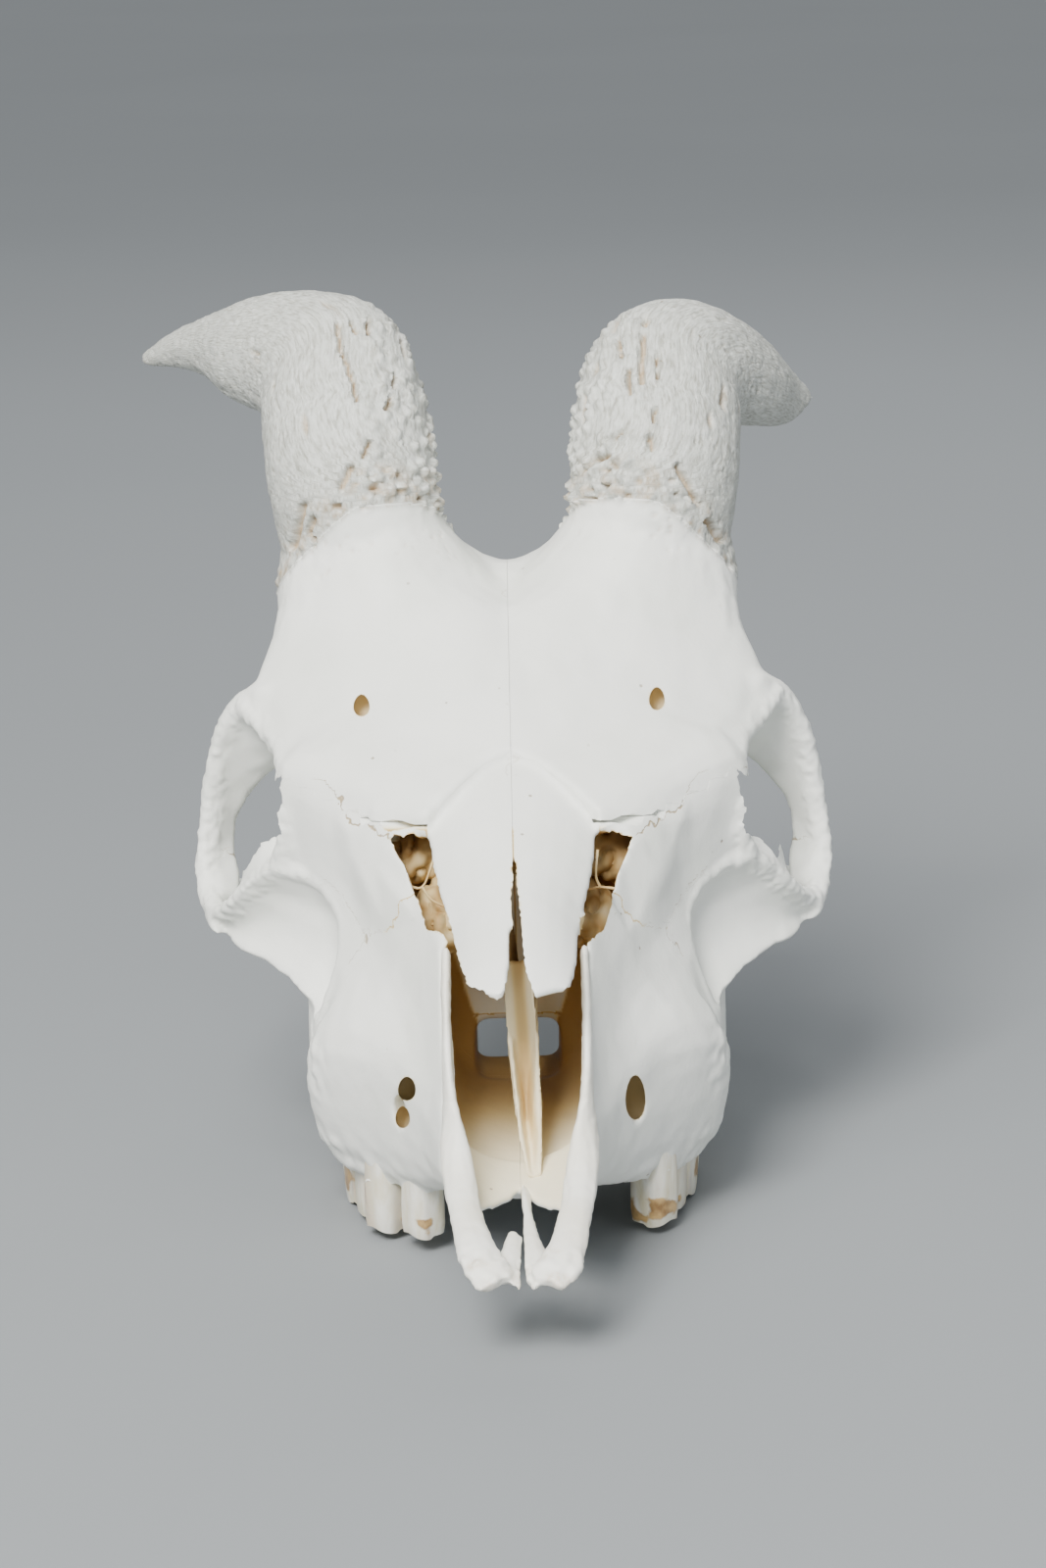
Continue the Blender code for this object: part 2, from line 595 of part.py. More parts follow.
def tooth(side, t):
    """A cheek tooth with ribs on its cheek side, its root sunk in the jaw."""
    rings = []
    for share, swell in ((0.0, 0.93), (0.18, 1.0), (0.55, 1.0), (1.0, 0.82)):
        ring = []
        for i in range(TOOTH_SIDES):
            a = 2 * math.pi * i / TOOTH_SIDES
            c, s = math.cos(a), math.sin(a)
            rib = 1.0
            if c > 0.2:
                across = a if a < math.pi else a - 2 * math.pi
                rib = 0.86 + 0.14 * abs(math.cos(1.6 * t.lobes * across))
            x = t.width / 2 * math.copysign(abs(c) ** 0.6, c) * rib * swell
            y = t.length / 2 * math.copysign(abs(s) ** 0.6, s) * swell
            turn = math.radians(t.turn)
            back = t.y - x * math.sin(turn) + y * math.cos(turn)
            tip = floor_height(back) + t.lift
            out = t.x + x * math.cos(turn) + y * math.sin(turn)
            ring.append((side * out, back, tip + (ROOT_TOP - tip) * share))
        rings.append(ring)
    return loft(t.name, rings)


def orbit_hollow():
    up = Vector((0, 0, 1))
    back = up.cross(ORBIT_OUT).normalized()
    rise = ORBIT_OUT.cross(back)
    hollow = blob("orbit_hollow", (0, 0, 0), (38, 17.5, 18.5))
    turn = Matrix((ORBIT_OUT, back, rise)).transposed().to_4x4()
    hollow.data.transform(Matrix.Translation((ORBIT_CENTRE + ORBIT_OUT * 6) * MM) @ turn)
    return hollow


def nose_opening():
    """What is open at the front of the nose, seen from the side."""
    outline = [(65.5, 69.5), (60, 63), (52, 54.5), (44, 46), (38, 38), (33, 33), (-5, 33), (-5, 75), (60, 80)]
    return slab("nose_opening", outline, -60, 60)


def roof_opening():
    """The gap in the roof of the nose that the nasal bones cover, with the gap beside each of them."""
    half = [(11.9, 30), (12.1, 58), (12.7, 66), (14.8, 70), (17.6, 77), (20, 82), (22.8, 86.5), (23.3, 88.3),
            (16.4, 88.8), (10.3, 94.4), (5.1, 98.9)]
    outline = half + [(0, 101)] + [(-x, y) for x, y in reversed(half)]
    return slab("roof_opening", outline, 58, 110, along="z")


def air_passage():
    """The way from the nose down to the throat, between the palate and the base of the braincase."""
    outline = [(94, 19.4), (108, 18), (110, 4), (150, -12), (152, 10), (146, 22), (132, 26),
               (118, 27.5), (94, 29)]
    return slab("air_passage", outline, -8.6, 8.6)


def below_floor():
    """Everything below the floor, in the skull's own frame."""
    return slab("floor", [(-50, -200), (300, -200), (300, floor_height(300)),
                          (-50, floor_height(-50))], -200, 200)


def nerve_holes():
    """The left side's nerve holes: one through the brow and a taller one in the cheek, both blind."""
    brow = tube("brow_hole", [(29.0, 119.5, 92), (29.6, 123, 87),
                              (30.0, 127, 82)], [1.5, 1.5, 1.2], [2.1, 2.1, 1.6],
                (1, 0, 0), sides=10, fineness=1)
    cheek = tube("cheek_hole", [(25, 54, 32), (21.5, 62, 32.5),
                                (20.4, 70, 34)], [3.8, 3.6, 2.4], [1.9, 1.8, 1.2],
                 (0, 0, 1), sides=10, fineness=1)
    return [("frontal", brow), ("maxilla", cheek)]


def whole_skull():
    """The fused bones as one skin."""
    face = across_loft("face", FACE)
    boolean(face, across_loft("nose", NOSE), "DIFFERENCE")
    boolean(face, nose_opening(), "DIFFERENCE")
    core = [face, across_loft("forehead", FOREHEAD), across_loft("braincase", BRAINCASE),
            *both_sides(core_forms()),
            horn(1, HORN_LEFT), horn(-1, HORN_RIGHT)]
    core = melt(union("core", core), VOXEL, 0)
    for tool in both_sides([orbit_hollow()]):
        boolean(core, tool, "DIFFERENCE")
    skull = melt(union("skull", [core, *both_sides(rim_forms())]), VOXEL, 0)
    for tool in both_sides([cheek_face(FREE_SPACE)]):
        boolean(skull, tool, "DIFFERENCE")
    boolean(skull, across_loft("nose", NOSE), "DIFFERENCE")
    boolean(skull, roof_opening(), "DIFFERENCE")
    boolean(skull, air_passage(), "DIFFERENCE")
    boolean(skull, blob("foramen_magnum", (0, 205, 16), (9, 14, 8.5)), "DIFFERENCE")
    melt(skull, VOXEL, 3)
    return skull


# Where each bone lies, in the order in which they are parted off. A paired bone lies on both sides. Its
# outline is in (y, z), and it reaches from low to high away from the midline.
Region = namedtuple("Region", "bone paired low high outline")
FAR = 130
REGIONS = [
    Region("temporal", True, 12.5, FAR,
           [(151, 54), (150, 34), (140, 24), (150, 4), (166, -14), (186.5, -14), (186.5, 22),
            (194, 34), (190, 56),
            (172, 63)]),
    Region("occipital", False, -FAR, FAR,
           [(196, 90), (197, 56), (186, 40), (184, 14), (167, 12), (160, -45), (230, -45), (230, 90)]),
    Region("parietal", False, -60, 60, [(171.5, 150), (171, 96), (166, 58), (200, 40), (206, 45),
                                        (206, 150)]),
    Region("zygomatic", True, 26, FAR,
           [(85, 52), (92, 57), (100, 60.5), (110, 60), (122, 48), (160, 54), (156, 10), (112, 26), (104, 33),
            (92, 35), (86, 44)]),
    Region("lacrimal", True, 13.5, FAR,
           [(79, 62), (85.5, 57.4), (92, 57), (100, 60.5), (110, 60), (124, 52), (124, 79), (108, 80),
            (96, 77.5),
            (86, 77.5), (79, 72)]),
    Region("palatine", True, 0.15, 24, [(97, 0), (97, 30), (128, 30), (156, 22), (156, -20),
                                        (120, -20), (112, 0)]),
    Region("sphenoid", False, -40, 40, [(122, 66), (122, -30), (230, -30), (230, 66)]),
    Region("maxilla", True, 0.15, FAR,
           [(30, -30), (30, 80), (86, 80), (96, 77.5), (97, 66), (110, 56), (126, 50), (126, -30)]),
    Region("frontal", True, 0.15, FAR, [(60, -60), (60, 220), (260, 220), (260, -60)]),
]


def resting_place():
    """Turns the skull down onto its molars and puts the origin on the floor below its middle."""
    turn = Matrix.Rotation(math.radians(PITCH), 4, "X")
    floor = turn @ Vector((0, MOLAR_FLOOR_Y, MOLAR_FLOOR_Z))
    return Matrix.Translation(Vector((-MIDDLE_X, -MIDDLE_Y, -floor.z)) * MM) @ turn


def snout_nodes():
    """The thin bones of the snout, which are drawn whole."""
    nodes = []
    for name, side in SIDES:
        for bone, shape in (("premaxilla", snout_bars), ("nasal", nasal_bone)):
            obj = shape(side)
            obj.name = bone + "_" + name
            nodes.append(obj)
    keel = vomer()
    keel.name = "vomer"
    return nodes + [keel]


def parted_nodes(skull):
    """The horn cores and then the skull's bones, each cut away from what is left of it."""
    nodes = [part_off(skull, "horn_core_" + name, horn_region(side)) for name, side in SIDES]
    for region in REGIONS:
        if not region.paired:
            space = slab("region", region.outline, region.low, region.high)
            nodes.append(part_off(skull, region.bone, space))
            continue
        for name, side in SIDES:
            low, high = sorted((side * region.low, side * region.high))
            nodes.append(part_off(skull, region.bone + "_" + name, slab("region", region.outline, low, high)))
    return nodes


def bore_nerve_holes():
    for name, side in SIDES:
        for bone, bore in nerve_holes():
            tool = bore if side > 0 else mirror_copy(bore)
            if side < 0:
                remove([bore])
            boolean(bpy.data.objects[bone + "_" + name], tool, "DIFFERENCE")


def set_teeth():
    for name, side in SIDES:
        jaw = bpy.data.objects["maxilla_" + name]
        teeth = [tooth(side, t) for t in TEETH if side < 0 or t.name not in LOST_ON_THE_LEFT]
        keep_largest(union(jaw.name, [jaw, *teeth]))


def colour_of(name):
    if name.startswith("horn"):
        return CORE
    return INNER if name == "vomer" else BONE


def main():
    clear_scene()
    skull = whole_skull()
    boolean(skull, below_floor(), "DIFFERENCE")
    thin_out(skull, SKULL_TRIANGLES)
    nodes = snout_nodes()
    for obj in nodes:
        boolean(skull, grown(obj, GAP), "DIFFERENCE")
    nodes += parted_nodes(skull)
    remove([skull])
    bore_nerve_holes()
    set_teeth()
    for obj in nodes:
        obj.data.transform(resting_place())
        finish(obj, colour_of(obj.name))


main()
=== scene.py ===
# %% [markdown]
# A goat skull on a pale floor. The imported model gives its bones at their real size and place. This
# script keeps every bone where it is and makes its surface: one fine skin over the fused bones, carved
# and sculpted as a whole, and then parted again along crooked sutures, so that each bone is its own piece.
# The horn cores, the snout's thin bones and the teeth get passes of their own.

# %% Load the frame
import itertools
import math
import random
import time

import bmesh
import bpy
import numpy as np
from mathutils import Matrix, Vector
from mathutils.kdtree import KDTree


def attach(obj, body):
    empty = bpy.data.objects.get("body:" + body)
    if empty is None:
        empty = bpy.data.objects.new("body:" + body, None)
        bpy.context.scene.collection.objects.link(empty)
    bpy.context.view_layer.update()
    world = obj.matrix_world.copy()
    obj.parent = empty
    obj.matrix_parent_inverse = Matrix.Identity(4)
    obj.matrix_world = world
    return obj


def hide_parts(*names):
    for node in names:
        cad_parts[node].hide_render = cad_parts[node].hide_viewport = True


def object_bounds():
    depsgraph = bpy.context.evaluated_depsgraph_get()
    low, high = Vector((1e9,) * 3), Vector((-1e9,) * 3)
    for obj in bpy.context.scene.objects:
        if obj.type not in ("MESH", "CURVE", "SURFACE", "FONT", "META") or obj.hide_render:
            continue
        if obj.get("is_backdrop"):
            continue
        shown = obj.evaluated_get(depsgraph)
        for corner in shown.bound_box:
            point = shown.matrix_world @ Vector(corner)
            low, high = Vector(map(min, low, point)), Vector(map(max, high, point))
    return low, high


START = time.time()
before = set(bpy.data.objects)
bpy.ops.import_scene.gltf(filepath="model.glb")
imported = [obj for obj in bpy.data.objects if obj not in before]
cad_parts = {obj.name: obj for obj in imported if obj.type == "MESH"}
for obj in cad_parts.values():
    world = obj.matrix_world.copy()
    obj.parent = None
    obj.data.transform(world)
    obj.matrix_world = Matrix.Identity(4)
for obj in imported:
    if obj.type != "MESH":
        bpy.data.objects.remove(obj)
CAD_LOW, CAD_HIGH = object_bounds()
MM = 0.001
print("the frame's bones:", len(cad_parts))

# %% [markdown]
# The skull's own frame. Places on a skull are easiest to name with its tooth row roughly level and the
# tip of the snout at y = 0, in millimetres: x to its left side, y backwards, z up. The model stands a
# little nose down from there, on its molars, so one matrix takes places from that frame to the floor's.

# %% The skull's own frame
PITCH = 10.5
MIDDLE_X = -5.9
MIDDLE_Y = 100.38
MOLAR_FLOOR = Vector((0, 108.0, -9.0))
TURN = Matrix.Rotation(math.radians(PITCH), 4, "X")
STAND = Matrix.Translation(Vector((-MIDDLE_X, -MIDDLE_Y, -(TURN @ MOLAR_FLOOR).z)) * MM) @ TURN
TO_FLOOR = STAND @ Matrix.Scale(MM, 4)
TO_SKULL = TO_FLOOR.inverted()
SIDES = (("left", 1), ("right", -1))
rng = random.Random(7)
print("the snout's tip stands at", [round(v, 4) for v in TO_FLOOR @ Vector((0, 2, 27))])


def read(data, key, shape):
    """One property of everything in a mesh's list, as an array."""
    values = np.empty(len(data) * (3 if shape != -1 else 1), np.float32)
    data.foreach_get(key, values)
    return values.astype(float).reshape(shape)


def in_skull(mesh):
    """All of a mesh's points as an array, in the skull's own frame."""
    m = np.array(TO_SKULL)
    return read(mesh.vertices, "co", (-1, 3)) @ m[:3, :3].T + m[:3, 3]


def put_back(mesh, points):
    """Moves a mesh's points to places in the skull's own frame."""
    m = np.array(TO_FLOOR)
    mesh.vertices.foreach_set("co", (points @ m[:3, :3].T + m[:3, 3]).ravel())
    mesh.update()


def normals_in_skull(mesh):
    """Every point's outward direction in the skull's own frame."""
    return read(mesh.vertex_normals, "vector", (-1, 3)) @ np.array(TO_SKULL)[:3, :3].T * MM


# %% [markdown]
# The camera stands where the photographer stood: 0.8 m in front of the snout and a little above it, with
# a short telephoto lens and a slight lean. The floor is plain and pale, and big soft lights from above
# and from the sides leave no hard shadow.

# %% Camera, floor and lights
CAMERA_PLACE = (0.00813, -0.80719, 0.28515)
CAMERA_DOWN = 14.0
CAMERA_LEAN = -1.35
LENS = 95.625
SENSOR = 36.0


def linear(hex_colour):
    """An sRGB hex colour as linear values with alpha."""
    channels = [int(hex_colour[i : i + 2], 16) / 255 for i in (1, 3, 5)]
    return (*[c / 12.92 if c <= 0.04045 else ((c + 0.055) / 1.055) ** 2.4 for c in channels], 1.0)


bpy.ops.object.select_all(action="DESELECT")
bpy.ops.object.camera_add(location=CAMERA_PLACE)
camera = bpy.context.object
camera.name = "camera"
aim = Matrix.Rotation(math.radians(90 - CAMERA_DOWN), 4, "X")
lean = Matrix.Rotation(math.radians(CAMERA_LEAN), 4, "Z")
camera.matrix_world = Matrix.Translation(CAMERA_PLACE) @ aim @ lean
camera.data.sensor_fit = "VERTICAL"
camera.data.sensor_height = SENSOR
camera.data.sensor_width = SENSOR
camera.data.lens = LENS
camera.data.clip_start = 0.01
bpy.context.scene.camera = camera


def softbox(name, place, aim_at, size, power, colour="#ffffff"):
    """A square soft light that looks at a place."""
    bpy.ops.object.light_add(type="AREA", location=place)
    light = bpy.context.object
    light.name = name
    light.data.size = size
    light.data.energy = power
    light.data.color = linear(colour)[:3]
    light.rotation_euler = (Vector(aim_at) - Vector(place)).to_track_quat("-Z", "Y").to_euler()
    return light


SKULL_MIDDLE = (0, 0, 0.08)
softbox("key_light", (-0.35, -1.0, 1.0), SKULL_MIDDLE, 0.5, 34, "#fffdf8")
softbox("fill_light", (0.9, -0.9, 0.35), SKULL_MIDDLE, 0.8, 3.5, "#f2f8ff")
softbox("back_light", (0.3, 1.0, 1.0), SKULL_MIDDLE, 0.9, 5)
bpy.ops.object.light_add(type="SUN", rotation=(math.radians(38), 0, math.radians(-24)))
ceiling = bpy.context.object
ceiling.name = "ceiling_light"
ceiling.data.angle = math.radians(50)
ceiling.data.energy = 2.1
world = bpy.data.worlds.new("studio")
bpy.context.scene.world = world
world.use_nodes = True
world.node_tree.nodes["Background"].inputs["Color"].default_value = linear("#e6ebee")
world.node_tree.nodes["Background"].inputs["Strength"].default_value = 0.36

# %% [markdown]
# Materials are node graphs. One small function adds a node with its settings and links, so each
# material reads as a list of what it is made of. Patterns use Object coordinates, in metres, and their
# scales are worked out from a size in millimetres.

# %% A node adder


def add(tree, kind, feeds=None, out=0, stops=(), **settings):
    """Adds a node and returns one output. What feeds a socket is another output, a value or a hex."""
    node = tree.nodes.new(kind)
    for key, value in settings.items():
        setattr(node, key, value)
    for socket, value in (feeds or {}).items():
        if isinstance(value, bpy.types.NodeSocket):
            tree.links.new(value, node.inputs[socket])
        else:
            node.inputs[socket].default_value = linear(value) if isinstance(value, str) else value
    for number, (position, colour) in enumerate(stops):
        if number > 1:
            node.color_ramp.elements.new(1.0)
        node.color_ramp.elements[number].position = position
        node.color_ramp.elements[number].color = linear(colour)
    return node.outputs[out]


def per_metre(size_mm):
    """The texture scale whose pattern repeats about every size_mm millimetres."""
    return 1000.0 / size_mm


# %% [markdown]
# Bleached bone. A museum cleans a skull in water and peroxide, which leaves it chalk white, with a faint
# sheen where the outer layer is dense. Stain stays in sutures and inside the nose, where it goes from
# cream to ochre. The bottoms of pits and slits get a brown that is painted shade with some stain, and
# pin holes a dark brown that is painted shade. The shader mixes its colours by layers that are laid on
# the meshes below:
#
# - inner: how far inside the nose, from cream at 0.3 to ochre at 1
# - core: the grey, porous bone of a horn core
# - stain, and the layer at holes: dirt, and a brown at the bottoms of pits and slits that is painted shade with
#   some stain
# - seam_1, seam_2 and seam_3: how far a suture lies to either side, with on_1, on_2 and on_3 where it runs
#
# A suture stores only its distance. The shader bends that distance with noise and draws a thin line
# where it is zero, so the line is crisp and meanders however coarse the mesh is.

# %% Bone materials
BONE_WHITE = "#f4f5ef"
OCHRE = "#b58d52"
SEAM_REACH = 3.0


def suture_line(tree, spot, number):
    """A crooked line, 1 on it and 0 away from it, from the two layers of one set of sutures."""
    seam = add(tree, "ShaderNodeAttribute", out="Fac", attribute_name=f"seam_{number}")
    on = add(tree, "ShaderNodeAttribute", out="Fac", attribute_name=f"on_{number}")
    wander = add(tree, "ShaderNodeTexNoise", {"Vector": spot, "Scale": per_metre(3.4), "Detail": 2.0})
    bend = add(tree, "ShaderNodeMath", {0: wander, 1: 2.7, 2: -1.35}, operation="MULTIPLY_ADD")
    apart = add(tree, "ShaderNodeMath", {0: seam, 1: 2.0, 2: -1.0}, operation="MULTIPLY_ADD")
    apart = add(tree, "ShaderNodeMath", {0: apart, 1: bend}, operation="ADD")
    apart = add(tree, "ShaderNodeMath", {0: apart}, operation="ABSOLUTE")
    line = add(tree, "ShaderNodeMapRange", {0: apart, 1: 0.15, 2: 0.05})
    return add(tree, "ShaderNodeMath", {0: line, 1: on}, operation="MULTIPLY")


def bone_material(name, light, shade):
    """Dry bone: mottled colour, stained hollows, scattered pin holes, sutures and a fine grain."""
    material = bpy.data.materials.new(name)
    material.use_nodes = True
    tree = material.node_tree
    shader = tree.nodes["Principled BSDF"]
    spot = add(tree, "ShaderNodeTexCoord", out="Object")
    layer = {k: add(tree, "ShaderNodeAttribute", out="Fac", attribute_name=k)
             for k in ("inner", "core", "stain", "pit_shade_and_stain")}
    unrolled = add(tree, "ShaderNodeAttribute", out="Vector", attribute_name="core_space")
    # Mottling 20 mm wide, grain 1 mm, and pin holes 0.4 mm wide that stand about 6 mm apart, painted dark brown
    # as their shade.
    mottle = add(tree, "ShaderNodeTexNoise", {"Vector": spot, "Scale": per_metre(20), "Detail": 4.0})
    grain = add(tree, "ShaderNodeTexNoise", {"Vector": spot, "Scale": per_metre(1.0), "Detail": 3.0})
    fibre = add(tree, "ShaderNodeTexNoise",
                {"Vector": unrolled, "Scale": 1.0, "Detail": 4.0, "Roughness": 0.6})
    where = add(tree, "ShaderNodeTexNoise", {"Vector": spot, "Scale": per_metre(28), "Detail": 1.0})
    where = add(tree, "ShaderNodeMapRange", {0: where, 1: 0.52, 2: 0.58})
    hole = add(tree, "ShaderNodeTexVoronoi", {"Vector": spot, "Scale": per_metre(6.0)})
    hole = add(tree, "ShaderNodeMapRange", {0: hole, 1: 0.07, 2: 0.04})
    hole = add(tree, "ShaderNodeMath", {0: hole, 1: where}, operation="MULTIPLY")
    seam = add(tree, "ShaderNodeMath",
               {0: suture_line(tree, spot, 1), 1: suture_line(tree, spot, 2)}, operation="MAXIMUM")
    seam = add(tree, "ShaderNodeMath", {0: seam, 1: suture_line(tree, spot, 3)}, operation="MAXIMUM")
    # The colours, each laid over the last by its own share.
    colour = add(tree, "ShaderNodeValToRGB", {0: mottle}, stops=[(0.3, shade), (0.6, light)])
    core = add(tree, "ShaderNodeValToRGB", {0: fibre},
               stops=[(0.32, "#a09f95"), (0.5, "#c4c6bf"), (0.68, "#d8dad5")])
    inner = add(tree, "ShaderNodeValToRGB", {0: layer["inner"]},
                stops=[(0.3, "#efe7cd"), (0.65, "#d8c08c"), (1.0, "#a87d42")])
    inside = add(tree, "ShaderNodeMapRange", {0: layer["inner"], 1: 0.02, 2: 0.3})
    blot = add(tree, "ShaderNodeMapRange", {0: grain, 1: 0.25, 2: 0.7, 4: layer["stain"]})
    # The bottoms of pits and slits: a brown that is painted shade, with some stain.
    pit_shade_and_stain = add(tree, "ShaderNodeMath", {0: layer["pit_shade_and_stain"], 1: 0.6}, operation="MULTIPLY")
    # Pin holes are only a dent in the relief; their dark brown is painted shade.
    pin_hole_shade = add(tree, "ShaderNodeMath", {0: hole, 1: 0.7}, operation="MULTIPLY")
    crack = add(tree, "ShaderNodeMath", {0: seam, 1: 0.85}, operation="MULTIPLY")
    for share, over in ((layer["core"], core), (inside, inner), (blot, OCHRE), (pit_shade_and_stain, "#b08c58"),
                        (pin_hole_shade, "#8b7654"), (crack, "#a08a63")):
        colour = add(tree, "ShaderNodeMix", {0: share, 6: colour, 7: over}, out=2, data_type="RGBA")
    tree.links.new(colour, shader.inputs["Base Color"])
    # The relief: grain and fibre stand up, and holes and sutures are sunk.
    fibre = add(tree, "ShaderNodeMath", {0: fibre, 1: layer["core"]}, operation="MULTIPLY")
    relief = add(tree, "ShaderNodeMath", {0: fibre, 1: 1.6, 2: 0.0}, operation="MULTIPLY_ADD")
    relief = add(tree, "ShaderNodeMath", {0: grain, 1: 0.3, 2: relief}, operation="MULTIPLY_ADD")
    sunk = add(tree, "ShaderNodeMath", {0: hole, 1: seam}, operation="MAXIMUM")
    relief = add(tree, "ShaderNodeMath", {0: relief, 1: sunk}, operation="SUBTRACT")
    bump = add(tree, "ShaderNodeBump", {"Height": relief, "Strength": 0.45, "Distance": 0.0004})
    tree.links.new(bump, shader.inputs["Normal"])
    shader.inputs["Roughness"].default_value = 0.5
    shader.inputs["IOR"].default_value = 1.5
    shader.inputs["Specular IOR Level"].default_value = 0.35
    return material


bleached_bone = bone_material("bleached_bone", BONE_WHITE, "#eceee6")
snout_bone = bone_material("thin_snout_bone", "#f3f2ea", "#ece8da")

# %% [markdown]
# Enamel and cement. A goat's cheek teeth are columns of glossy ivory enamel, with brown tartar in the
# folds and at the gum line. The colour follows the height on the tooth, which is painted as a layer
# named gum, and streaks that run up the tooth break it up.

# %% Tooth material
tooth_enamel = bpy.data.materials.new("tooth_enamel")
tooth_enamel.use_nodes = True
tree = tooth_enamel.node_tree
shader = tree.nodes["Principled BSDF"]
spot = add(tree, "ShaderNodeTexCoord", out="Object")
long_spot = add(tree, "ShaderNodeMapping", {"Vector": spot, "Scale": (1.0, 1.0, 0.25)})
streak = add(tree, "ShaderNodeTexNoise", {"Vector": long_spot, "Scale": per_metre(2.2), "Detail": 4.0})
blotch = add(tree, "ShaderNodeTexNoise", {"Vector": spot, "Scale": per_metre(2.5), "Detail": 3.0})
gum = add(tree, "ShaderNodeAttribute", out="Fac", attribute_name="gum")
fold = add(tree, "ShaderNodeAttribute", out="Fac", attribute_name="fold")
ivory = add(tree, "ShaderNodeValToRGB", {0: streak}, stops=[(0.3, "#ddd4b4"), (0.6, "#f3f1e6")])
tartar = add(tree, "ShaderNodeValToRGB", {0: blotch}, stops=[(0.35, "#8a6432"), (0.65, "#c9a56a")])
dirt = add(tree, "ShaderNodeMath", {0: fold, 1: 0.7, 2: streak}, operation="MULTIPLY_ADD")
dirt = add(tree, "ShaderNodeMapRange", {0: dirt, 1: 0.85, 2: 1.35, 4: 0.7})
caked = add(tree, "ShaderNodeMath", {0: gum, 1: blotch}, operation="ADD")
caked = add(tree, "ShaderNodeMapRange", {0: caked, 1: 0.82, 2: 1.02, 4: 0.95})
enamel = add(tree, "ShaderNodeMix", {0: dirt, 6: ivory, 7: tartar}, out=2, data_type="RGBA")
enamel = add(tree, "ShaderNodeMix", {0: caked, 6: enamel, 7: tartar}, out=2, data_type="RGBA")
tree.links.new(enamel, shader.inputs["Base Color"])
relief = add(tree, "ShaderNodeMath", {0: caked, 1: blotch, 2: streak}, operation="MULTIPLY_ADD")
bump = add(tree, "ShaderNodeBump", {"Height": relief, "Strength": 0.35, "Distance": 0.0004})
tree.links.new(bump, shader.inputs["Normal"])
shader.inputs["Roughness"].default_value = 0.28
shader.inputs["IOR"].default_value = 1.62

# %% [markdown]
# The floor is a plain pale board, with a barely visible mottle so that it doesn't look like a void.

# %% Floor
floor_paint = bpy.data.materials.new("matt_floor_paint")
floor_paint.use_nodes = True
tree = floor_paint.node_tree
shader = tree.nodes["Principled BSDF"]
spot = add(tree, "ShaderNodeTexCoord", out="Object")
cloud = add(tree, "ShaderNodeTexNoise", {"Vector": spot, "Scale": per_metre(400), "Detail": 2.0})
paint_colour = add(tree, "ShaderNodeValToRGB", {0: cloud}, stops=[(0.3, "#868a8d"), (0.7, "#888c8f")])
tree.links.new(paint_colour, shader.inputs["Base Color"])
shader.inputs["Roughness"].default_value = 0.8
bpy.ops.mesh.primitive_plane_add(size=16, location=(0, 0, 0))
floor = bpy.context.object
floor.name = "floor"
floor.data.materials.append(floor_paint)
floor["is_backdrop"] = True

# %% [markdown]
# Small helpers for modelling as by hand: select only some objects, apply what is on an object, cut one
# closed shape by another, and make smooth curves through a few points. Noise comes as an array for all
# points at once, which keeps sculpting half a million points quick.

# %% Modelling helpers


def only(*objs):
    bpy.ops.object.select_all(action="DESELECT")
    for obj in objs:
        obj.select_set(True)
    bpy.context.view_layer.objects.active = objs[0]
    return objs[0]


def joined(*objs):
    """Several objects as one, under the first one's name."""
    only(*objs)
    if len(objs) > 1:
        bpy.ops.object.join()
    return objs[0]


def settle(obj):
    """Applies an object's modifiers, in order."""
    only(obj)
    for modifier in list(obj.modifiers):
        bpy.ops.object.modifier_apply(modifier=modifier.name)
    return obj


def copy_of(names, new_name):
    """A free copy of some CAD nodes, joined and with their loose triangles merged."""
    only(*[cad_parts[n] for n in names])
    bpy.ops.object.duplicate()
    copies = list(bpy.context.selected_objects)
    for obj in copies:
        obj.parent = None
        for key in list(obj.keys()):
            del obj[key]
    obj = joined(*copies)
    obj.name = new_name
    obj.data.name = new_name
    obj.data.materials.clear()
    bpy.ops.object.mode_set(mode="EDIT")
    bpy.ops.mesh.select_all(action="SELECT")
    bpy.ops.mesh.remove_doubles(threshold=0.000001)
    bpy.ops.object.mode_set(mode="OBJECT")
    return obj


def cut(obj, tool, operation="DIFFERENCE", keep_tool=False):
    step = obj.modifiers.new("cut", "BOOLEAN")
    step.operation = operation
    step.object = tool
    step.solver = "MANIFOLD"
    settle(obj)
    if not keep_tool:
        bpy.data.objects.remove(tool, do_unlink=True)
    return obj


def swell(obj, by_mm):
    """Moves an object's surface outwards, or inwards where by_mm is negative."""
    step = obj.modifiers.new("swell", "DISPLACE")
    step.strength = by_mm * MM
    step.mid_level = 0.0
    return settle(obj)


def fine_skin(obj, cell_mm, rounds):
    """Remakes a surface in small even cells and relaxes it."""
    cells = obj.modifiers.new("cells", "REMESH")
    cells.mode = "VOXEL"
    cells.voxel_size = cell_mm * MM
    settle(obj)
    relax = obj.modifiers.new("relax", "SMOOTH")
    relax.factor = 0.5
    relax.iterations = rounds
    return settle(obj)


def curve_through(points, samples):
    """Samples of a smooth curve through a few points (Catmull-Rom)."""
    spots = [Vector(p) for p in points]
    ends = [2 * spots[0] - spots[1], *spots, 2 * spots[-1] - spots[-2]]
    run = []
    for i in range(samples):
        place = i * (len(spots) - 1) / (samples - 1)
        k = min(int(place), len(spots) - 2)
        t = place - k
        a, b, c, d = ends[k : k + 4]
        bend = (2 * a - 5 * b + 4 * c - d) * t**2 + (3 * b - a - 3 * c + d) * t**3
        run.append(0.5 * (2 * b + (c - a) * t + bend))
    return run


def lattice_value(cell, seed):
    """A number from 0 to 1 that belongs to each cell of a lattice."""
    h = (cell[..., 0] * 73856093) ^ (cell[..., 1] * 19349663) ^ (cell[..., 2] * 83492791) ^ (seed * 2654435)
    h = (h ^ (h >> 13)) * 1274126177
    h = h ^ (h >> 16)
    return (h & 65535) / 65535.0


